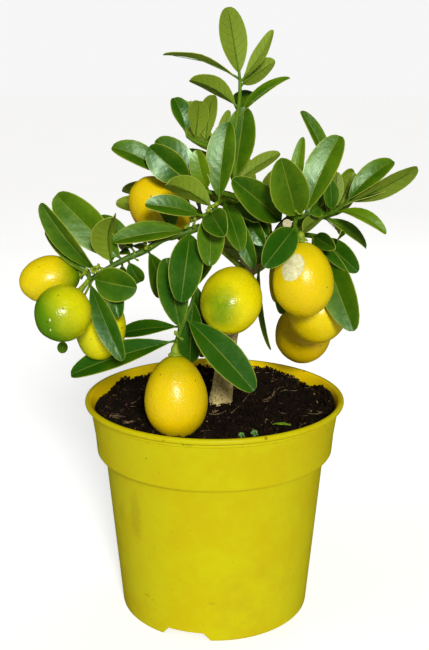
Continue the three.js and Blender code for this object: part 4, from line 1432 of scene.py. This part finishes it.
def blade_pattern_group():
    """Veins, midrib and margin of a blade from its own map: U along the rib and V across it."""

    def wire(graph, given):
        place = graph.node("ShaderNodeUVMap", uv_map="UVMap").outputs[0]
        u, v, _ = graph.node("ShaderNodeSeparateXYZ", {0: place}).outputs
        across = graph.times(graph.math("ABSOLUTE", graph.minus(v, 0.5)), 2)
        sided = graph.times(graph.math("GREATER_THAN", v, 0.5), 0.5)
        along = graph.times(graph.minus(1.0, graph.math("COSINE", graph.times(u, math.pi))), 0.5)
        sweep = graph.minus(along, graph.times(graph.math("POWER", across, 1.3), 0.16))
        wave = graph.plus(graph.times(sweep, given["Vein count"]), sided)
        near = graph.math("ABSOLUTE", graph.minus(graph.math("FRACT", wave), 0.5))
        fade = graph.ramp(across, 0.55, 0.95, 1.0, 0.0)
        start = graph.minus(1.0, given["Margin width"])
        return {
            "Veins": graph.times(graph.ramp(near, 0.0, 0.07, 1.0, 0.0), fade),
            "Midrib": graph.ramp(across, 0.02, 0.06, 1.0, 0.0),
            "Margin": graph.ramp(graph.minus(across, start), -0.02, 0.02),
            "Quilt": graph.times(graph.ramp(near, 0.0, 0.5), fade),
            "Outer": graph.ramp(across, 0.35, 1.0),
        }

    inputs = {"Vein count": "Float", "Margin width": "Float"}
    outputs = dict.fromkeys(("Veins", "Midrib", "Margin", "Quilt", "Outer"), "Float")
    return node_group("Blade pattern", inputs, outputs, wire)


def blade_material(name, leaf, upper):
    """The glossy upper face or the matt underside of a leaf."""
    finish = Finish(name, 0.3, 0.6 if upper else 0.35)
    pattern = finish.group(blade_pattern_group(), {"Vein count": VEINS, "Margin width": MARGIN_WIDTH})
    tone = finish.tone()
    clouds = finish.mottled(60, 420, 0.3)
    shade = finish.plus(tone, finish.times(finish.minus(clouds, 0.5), 0.85))
    if upper:
        shade = finish.plus(shade, finish.times(pattern["Outer"], 0.16))
        base = finish.mix(finish.ramp(shade, 0.05, 1.0), leaf.old_leaf, leaf.young_leaf)
        vein, vein_share, rib_share = finish.mix(0.12, base, leaf.margin), 0.3, 0.28
        relief = finish.times(pattern["Quilt"], 0.14)
        relief = finish.plus(relief, finish.times(finish.noise(230, 3, 0.6), 0.9))
        relief = finish.minus(relief, finish.times(pattern["Midrib"], 0.8))
        rough = finish.ramp(clouds, 0.3, 0.7, 0.31, 0.40)
        finish.set("Specular Tint", LEAF_GLOSS)
    else:
        base = finish.mix(finish.ramp(shade, 0.0, 0.9), shaded(leaf.underside, 0.5), leaf.underside)
        vein, vein_share, rib_share = finish.mix(0.5, base, shaded(leaf.underside, 0.55)), 0.7, 0.0
        relief = finish.plus(pattern["Veins"], pattern["Midrib"])
        rough = finish.ramp(clouds, 0.3, 0.7, 0.5, 0.65)
    colour = finish.mix(finish.times(pattern["Veins"], vein_share), base, vein)
    colour = finish.mix(finish.ramp(tone, 1.2, 1.8), colour, YELLOWED)
    colour = finish.mix(finish.times(pattern["Midrib"], rib_share), colour, leaf.margin)
    finish.set("Base Color", finish.mix(finish.times(pattern["Margin"], 0.6), colour, leaf.margin))
    finish.set("Roughness", rough)
    finish.bump(finish.plus(relief, finish.times(finish.noise(1400, 2), 0.12)), 0.55, 0.00045)
    return finish.material


def green_material(name, light, dark, coarse, fine=6, roughness=0.5, specular=0.3, depth=0.0004):
    """Plain green growth, such as twigs, leaf edges, cups, buds and weeds."""
    finish = Finish(name, roughness, specular)
    clouds = finish.mottled(coarse, coarse * fine, 0.4)
    finish.set("Base Color", finish.mix(finish.ramp(clouds, 0.35, 0.65), dark, light))
    finish.bump(clouds, 0.3, depth)
    return finish.material


class ShootParts:
    """What all shoots are made from: the blade, cup and bud, and their materials."""

    def __init__(self, leaf):
        self.thickness = leaf.blade_thickness
        self.blade = model_blade()
        self.calyx = model_calyx()
        self.bud = model_bud()
        self.upper = blade_material("leaf_upper", leaf, True)
        self.under = blade_material("leaf_under", leaf, False)
        self.edge = green_material("leaf_margin", leaf.margin, shaded(leaf.margin, 0.6), 200)
        self.twig = green_material("green_twig", (0.085, 0.18, 0.003), (0.04, 0.10, 0.002), 180)
        self.top_twig = green_material("top_twig", (0.13, 0.25, 0.005), (0.07, 0.15, 0.003), 180)
        self.young = green_material("calyx_and_buds", (0.30, 0.40, 0.02), (0.13, 0.22, 0.01), 400)

    def remove(self):
        for piece in (self.blade, self.calyx, self.bud):
            bpy.data.objects.remove(piece)


def thickened(blades, name, parts):
    """The blades of a shoot as one piece with an upper face, an underside and an edge."""
    leaves = joined(blades, name + "_blades")
    dress(leaves, parts.upper, parts.under, parts.edge)
    faces = {"material_offset": 1, "material_offset_rim": 2}
    add_modifier(leaves, "SOLIDIFY", thickness=parts.thickness, offset=0, use_even_offset=True, **faces)
    smooth(leaves, RIB_CREASE)
    return leaves


def bud_clusters(name, parts, draw):
    """The flower buds of a shoot and the runs of their stalks."""
    buds, stalks = [], []
    for across, down, depth, count in BUDS.get(name, []):
        middle = seen(across, down, depth)
        for _ in range(count):
            way = Vector((draw() - 0.5, draw() - 0.8, draw() - 0.3)).normalized()
            buds.append(copy_at(parts.bud, middle + way * 2.6, way, 0.75 + 0.75 * draw()))
            stalks.append([(middle, 0.5), (middle + way * 2.4, 0.4)])
    return buds, stalks


def grow_shoot(name, parts):
    """One shoot: its stems, leaf stalks and fruit stalks as rods, its blades, cups and buds."""
    draw, wobble = seeded(name), seeded(name + "_blades")
    runs, stalks, blades, small = [], [], [], []
    for twig in SHOOTS[name]:
        line, run = stem_run(twig.stem, STEM_STEPS)
        runs.append(run)
        for leaf in leaves_of(twig, line, draw):
            blades.append(lay_blade(parts.blade, leaf, wobble))
            runs.append(petiole_run(leaf))
        for place, carried in twig.stalks:
            fruit = FRUIT[carried]
            stalks.append(stalk_run(line.at_row(place), fruit))
            axis, end = fruit_frame(fruit)
            size = SMALL_CUP_SIZE if fruit.length < SMALL_FRUIT else CUP_SIZE
            small.append(copy_at(parts.calyx, end + axis * CUP_SHIFT * size, -axis, size))
    buds, bud_stalks = bud_clusters(name, parts, wobble)
    stems = tubes(name + "_stems", runs)
    dress(stems, parts.top_twig if name == "crown" else parts.twig)
    smooth(stems, 60)
    pieces = [thickened(blades, name, parts), stems]
    if small or buds:
        rods = tubes(name + "_stalks", stalks + bud_stalks)
        cups = joined([*small, *buds, rods], name + "_cups")
        settle(cups)
        dress(cups, parts.young)
        smooth(cups, 60)
        pieces.append(cups)
    part_of_tree(joined(pieces, name + "_grown"), name)


class LEMON_OT_shoots(bpy.types.Operator):
    """Grow the leafy shoots with their twigs, stalks, cups and buds"""

    bl_idname = "lemon.shoots"
    bl_label = "Leafy shoots"

    def execute(self, context):
        parts = ShootParts(context.scene.lemon_leaf)
        for name in SHOOTS:
            grow_shoot(name, parts)
        parts.remove()
        return {"FINISHED"}


# Fruit

# Places of the rings of a fruit, as shares of its length, closer together at its ends
FRUIT_RINGS = (
    0.006, 0.03, 0.08, 0.15, 0.24, 0.34, 0.44, 0.54, 0.64, 0.74, 0.83, 0.9, 0.95, 0.975, 0.992, 0.999,
)
# Dry scars on the peel: where their middle is seen, half their width and height, and their tilt
SCARS = {
    "fruit_scarred": [((293, 267.5), (6.0, 8.7), 25)],
    "fruit_left_green": [((50, 320), (0.6, 0.9), 0), ((50.5, 330), (0.5, 0.7), 20)],
}
SPECK_BROWN = (0.09, 0.04, 0.006)
SCAR_DARK = (0.60, 0.56, 0.27)
SCAR_PALE = (0.85, 0.81, 0.47)
SCAR_RIM = (0.30, 0.20, 0.04)


def fruit_radius(share, width, pear):
    """Half the width of a fruit at a share of its length from stalk end to blossom end."""
    s = 2 * share - 1
    nipple = 0.05 * math.exp(-(((share - 1) / 0.035) ** 2))
    return width / 2 * (math.sqrt(max(0.0, 1 - s * s)) * (1 + pear * s) + nipple)


def peel_group():
    """Peel of a lemon: its colour from green to orange, its pores and its specks."""

    def wire(graph, given):
        toward = graph.vector("SUBTRACT", given["Place"], given["Middle"])
        toward = graph.vector("DOT_PRODUCT", toward, given["Green way"])
        clouds = graph.minus(graph.noise(55, 4, 0.6), 0.5)
        reach = graph.plus(graph.plus(toward, graph.times(clouds, 0.75)), given["Green reach"])
        spread = given["Green spread"]
        green = graph.ramp(reach, graph.times(spread, -1.0), spread)
        warm = graph.plus(given["Warmth"], graph.times(clouds, 0.3), clamp=True)
        colour = graph.mix(green, graph.mix(warm, given["Ripe"], given["Orange"]), given["Unripe"])
        look = {"Vector": given["Place"], "Scale": given["Pore scale"], "Randomness": 0.9}
        cells = graph.node("ShaderNodeTexVoronoi", look, feature="SMOOTH_F1")
        pores = graph.ramp(cells.outputs["Distance"], 0.05, 0.42, 1.0, 0.0)
        colour = graph.mix(graph.times(pores, 0.07), colour, given["Unripe"])
        colour = graph.mix(graph.times(graph.specks(330, 0.24, 0.10), 0.8), colour, SPECK_BROWN)
        swell = graph.times(graph.noise(260, 2), 0.5)
        return {"Colour": colour, "Height": graph.minus(swell, pores), "Pores": pores}

    inputs = dict.fromkeys(("Place", "Middle", "Green way"), "Vector")
    numbers = ("Green reach", "Green spread", "Warmth", "Pore scale")
    inputs |= dict.fromkeys(numbers, "Float") | dict.fromkeys(("Ripe", "Orange", "Unripe"), "Color")
    outputs = {"Colour": "Color", "Height": "Float", "Pores": "Float"}
    return node_group("Peel", inputs, outputs, wire)


def peel_material(name, fruit, peel):
    glow = {"Subsurface_Weight": 0.12, "Subsurface_Radius": (0.004, 0.002, 0.0005)}
    finish = Finish(name + "_peel", 0.34, 0.45, **glow)
    green_way, green_reach, green_spread, warmth = RIPENESS[name]
    look = {
        "Place": finish.place,
        "Middle": seen(*fruit.middle) * MM,
        "Green way": Vector(green_way).normalized() / (fruit.width / 2 * MM),
        "Green reach": green_reach,
        "Green spread": green_spread,
        "Warmth": warmth,
        "Pore scale": 1 / peel.pore_size,
        "Ripe": peel.ripe,
        "Orange": peel.overripe,
        "Unripe": peel.unripe,
    }
    made = finish.group(peel_group(), look)
    colour, height = made["Colour"], made["Height"]
    rough = finish.ramp(made["Pores"], 0.0, 1.0, 0.27, 0.42)
    for middle, half, tilt in SCARS.get(name, []):
        centre = seen(*middle, fruit.middle[2] - fruit.width / 2 + 1)
        ragged = finish.times(finish.noise(200, 4, 0.6), 0.35)
        reach = finish.plus(oval_reach(finish, centre, half, tilt), ragged)
        mask = finish.ramp(reach, 1.08, 1.24, 1.0, 0.0)
        cloudy = finish.ramp(finish.noise(380, 4, 0.6), 0.3, 0.7)
        rim = finish.times(finish.math("PINGPONG", mask, 0.5), 1.2)
        dry = finish.mix(rim, finish.mix(cloudy, SCAR_DARK, SCAR_PALE), SCAR_RIM)
        colour = finish.mix(mask, colour, dry)
        rough = finish.plus(rough, finish.times(mask, 0.4))
        height = finish.plus(height, finish.times(mask, -1.2))
    finish.set("Base Color", colour)
    finish.set("Roughness", rough)
    finish.bump(height, 0.5, 0.00022)
    return finish.material


def model_fruit(name, fruit, peel):
    """A fruit raised ring by ring from its stalk end, made a little uneven and laid along its axis."""
    radii = [max(fruit_radius(share, fruit.width, fruit.pear), 0.05) for share in FRUIT_RINGS]
    rings = [(radius, fruit.length * share) for radius, share in zip(radii, FRUIT_RINGS)]
    piece = raised(name + "_peel", rings, 48)
    add_modifier(piece, "SUBSURF", levels=1, render_levels=1)
    if fruit.length > SMALL_FRUIT:
        roughen(piece, "fruit_unevenness", 0.016, 0.0011, mid_level=0.87)
    axis, end = fruit_frame(fruit)
    piece.matrix_world = standing(end, axis)
    settle(piece)
    dress(piece, peel_material(name, fruit, peel))
    smooth(piece, 180)
    part_of_tree(piece, name)


class LEMON_OT_fruit(bpy.types.Operator):
    """Model the lemons, each with its own ripeness"""

    bl_idname = "lemon.fruit"
    bl_label = "Fruit"

    def execute(self, context):
        for name, fruit in FRUIT.items():
            model_fruit(name, fruit, context.scene.lemon_fruit)
        return {"FINISHED"}


# Weeds

# Each seedling's place on the soil and how far its leaflets spread
SEEDLINGS = {"seedling_left": (16.5, -65, 2.6), "seedling_right": (24.5, -64, 3.0)}
SEEDLING_HEIGHT = 2.2
SEEDLING_LEAVES = 9
WEED_THICKNESS = 0.0004
# The two ends of the thin green blade, with their lift above the soil
GRASS = ((34, -46, 1.6), (48, -51, 1.8))


def model_weed(name, blade, leaves, runs, material):
    draw = seeded(name)
    blades = joined([lay_blade(blade, leaf, draw) for leaf in leaves], name + "_blades")
    add_modifier(blades, "SOLIDIFY", thickness=WEED_THICKNESS, offset=0)
    stems = [tubes(name + "_stem", runs, 1)] if runs else []
    weed = joined([blades, *stems], name + "_grown")
    dress(weed, material)
    smooth(weed, 60)
    part_of_tree(weed, name)


def grow_seedling(name, blade, material):
    x, y, spread = SEEDLINGS[name]
    ground = on_soil(x, y)
    head = ground + UP * SEEDLING_HEIGHT
    leaves = []
    for i in range(SEEDLING_LEAVES):
        layer = i % 3
        way = Vector((*on_circle(i * GOLDEN_ANGLE, 1), 0.6 - 0.25 * layer))
        foot = head - UP * 0.5 * layer
        tip = foot + way * spread * (0.7 + 0.1 * layer)
        leaves.append(Leaf(foot, tip, UP, 1.9, 0.3, 0.5, 12))
    stem = [(ground - UP * 2, 0.45), (ground, 0.45), (head, 0.35)]
    model_weed(name, blade, leaves, [stem], material)


class LEMON_OT_weeds(bpy.types.Operator):
    """Grow the two seedlings and lay the thin green blade on the soil"""

    bl_idname = "lemon.weeds"
    bl_label = "Weeds"

    def execute(self, context):
        blade = model_blade()
        soft = {"fine": 5, "roughness": 0.55, "specular": 0.5, "depth": 0.0002}
        leafy = green_material("seedling_green", (0.21, 0.42, 0.10), (0.05, 0.18, 0.03), 300, **soft)
        grassy = green_material("grass_green", (0.20, 0.33, 0.01), (0.10, 0.22, 0.005), 300, **soft)
        for name in SEEDLINGS:
            grow_seedling(name, blade, leafy)
        start, end = (on_soil(*place) for place in GRASS)
        leaf = Leaf(start, end, Vector((0, -0.3, 1)), 2.2, 1.8, 0.5, 6)
        model_weed("grass_blade", blade, [leaf], [], grassy)
        bpy.data.objects.remove(blade)
        return {"FINISHED"}


# Stage

FLOOR_RADIUS = 12
FLOOR_DROP = 0.0004
BACKDROP = 0.925
KEY_WAY = Vector((-0.16, 1.0, -0.46))
KEY_COLOUR = (1, 0.985, 0.96)
LIGHT_AIM = Vector((0, 0, 0.2))
LIGHT_SIZE = 0.9
# Place and colour of the two wide lights
WIDE_LIGHTS = {"fill": ((-1.1, -0.5, 0.9), (0.95, 0.98, 1)), "back": ((0.5, 1.0, 1.1), (1, 1, 1))}
SENSOR = 36


def soft_light(name, place, power, colour):
    """A round area light that looks at the middle of the tree."""
    deselect()
    bpy.ops.object.light_add(type="AREA", location=place)
    light = named(name)
    light.data.shape = "DISK"
    light.data.size = LIGHT_SIZE
    light.data.energy = power
    light.data.color = colour
    light.visible_glossy = False
    light.rotation_euler = (LIGHT_AIM - Vector(place)).to_track_quat("-Z", "Y").to_euler()


def lay_floor(stage):
    deselect()
    bpy.ops.mesh.primitive_circle_add(
        vertices=96, radius=FLOOR_RADIUS, fill_type="NGON", location=(0, 0, -FLOOR_DROP)
    )
    floor = named("floor")
    settle(floor)
    finish = Finish("pale_floor", 0.8, 0.2)
    shade = finish.ramp(finish.noise(3), 0.3, 0.7)
    finish.set("Base Color", finish.mix(shade, shaded(stage.floor, 0.985), stage.floor))
    straight = finish.node("ShaderNodeLightPath").outputs["Is Camera Ray"]
    finish.set("Emission Strength", finish.times(straight, stage.glow))
    dress(floor, finish.material)
    floor.visible_glossy = False


def pale_surroundings(stage):
    """Even pale light from all around, a little brighter where the camera looks straight at it."""
    world = bpy.data.worlds.new("pale_surroundings")
    world.use_nodes = True
    sky = Graph(world.node_tree)
    straight = sky.node("ShaderNodeLightPath").outputs["Is Camera Ray"]
    strength = sky.ramp(straight, 0, 1, stage.sky, BACKDROP)
    sky.fill(world.node_tree.nodes["Background"], {"Color": (1, 1, 1), "Strength": strength})
    return world


class LEMON_OT_stage(bpy.types.Operator):
    """Lay the pale floor and set the soft light and the camera"""

    bl_idname = "lemon.stage"
    bl_label = "Stage"

    def execute(self, context):
        settings = context.scene.lemon_stage
        lay_floor(settings)
        context.scene.world = pale_surroundings(settings)
        context.scene.world.cycles_visibility.glossy = False
        deselect()
        bpy.ops.object.light_add(type="SUN", location=(0.3, -1.0, 1.0))
        key = named("key")
        key.rotation_euler = KEY_WAY.to_track_quat("-Z", "Y").to_euler()
        key.data.energy = settings.key_strength
        key.data.angle = settings.key_spread
        key.data.color = KEY_COLOUR
        for name, (place, colour) in WIDE_LIGHTS.items():
            soft_light(name, place, settings.fill_power, colour)
        bpy.ops.object.camera_add(location=EYE * MM, rotation=(math.pi / 2 - EYE_PITCH, 0, 0))
        camera = named("camera")
        camera.data.sensor_width = SENSOR
        camera.data.lens = SENSOR * PICTURE_FOCUS / PICTURE_HEIGHT
        camera.data.clip_start = 0.01
        context.scene.camera = camera
        context.scene.view_settings.view_transform = "Standard"
        return {"FINISHED"}


# Panel and registration

SETTINGS = {
    "lemon_pot": PotSettings,
    "lemon_soil": SoilSettings,
    "lemon_wood": WoodSettings,
    "lemon_leaf": LeafSettings,
    "lemon_fruit": FruitSettings,
    "lemon_stage": StageSettings,
}
OPERATORS = (
    LEMON_OT_pot,
    LEMON_OT_soil,
    LEMON_OT_trunk,
    LEMON_OT_shoots,
    LEMON_OT_fruit,
    LEMON_OT_weeds,
    LEMON_OT_stage,
)


class LEMON_PT_tree(bpy.types.Panel):
    """Pieces and settings of the lemon bonsai"""

    bl_label = "Lemon Bonsai"
    bl_space_type = "VIEW_3D"
    bl_region_type = "UI"
    bl_category = "Lemon Bonsai"

    def draw(self, context):
        for operator in OPERATORS:
            self.layout.operator(operator.bl_idname)
        for name, kind in SETTINGS.items():
            box = self.layout.box()
            settings = getattr(context.scene, name)
            for key in kind.__annotations__:
                box.prop(settings, key)


def register():
    for kind in (*SETTINGS.values(), *OPERATORS, LEMON_PT_tree):
        bpy.utils.register_class(kind)
    for name, kind in SETTINGS.items():
        setattr(bpy.types.Scene, name, PointerProperty(type=kind))


def unregister():
    for name in SETTINGS:
        delattr(bpy.types.Scene, name)
    for kind in reversed((*SETTINGS.values(), *OPERATORS, LEMON_PT_tree)):
        bpy.utils.unregister_class(kind)


def main():
    register()
    bpy.ops.lemon.stage()
    bpy.ops.lemon.pot()
    bpy.ops.lemon.soil()
    bpy.ops.lemon.trunk()
    bpy.ops.lemon.shoots()
    bpy.ops.lemon.fruit()
    bpy.ops.lemon.weeds()


if __name__ == "__main__":
    main()
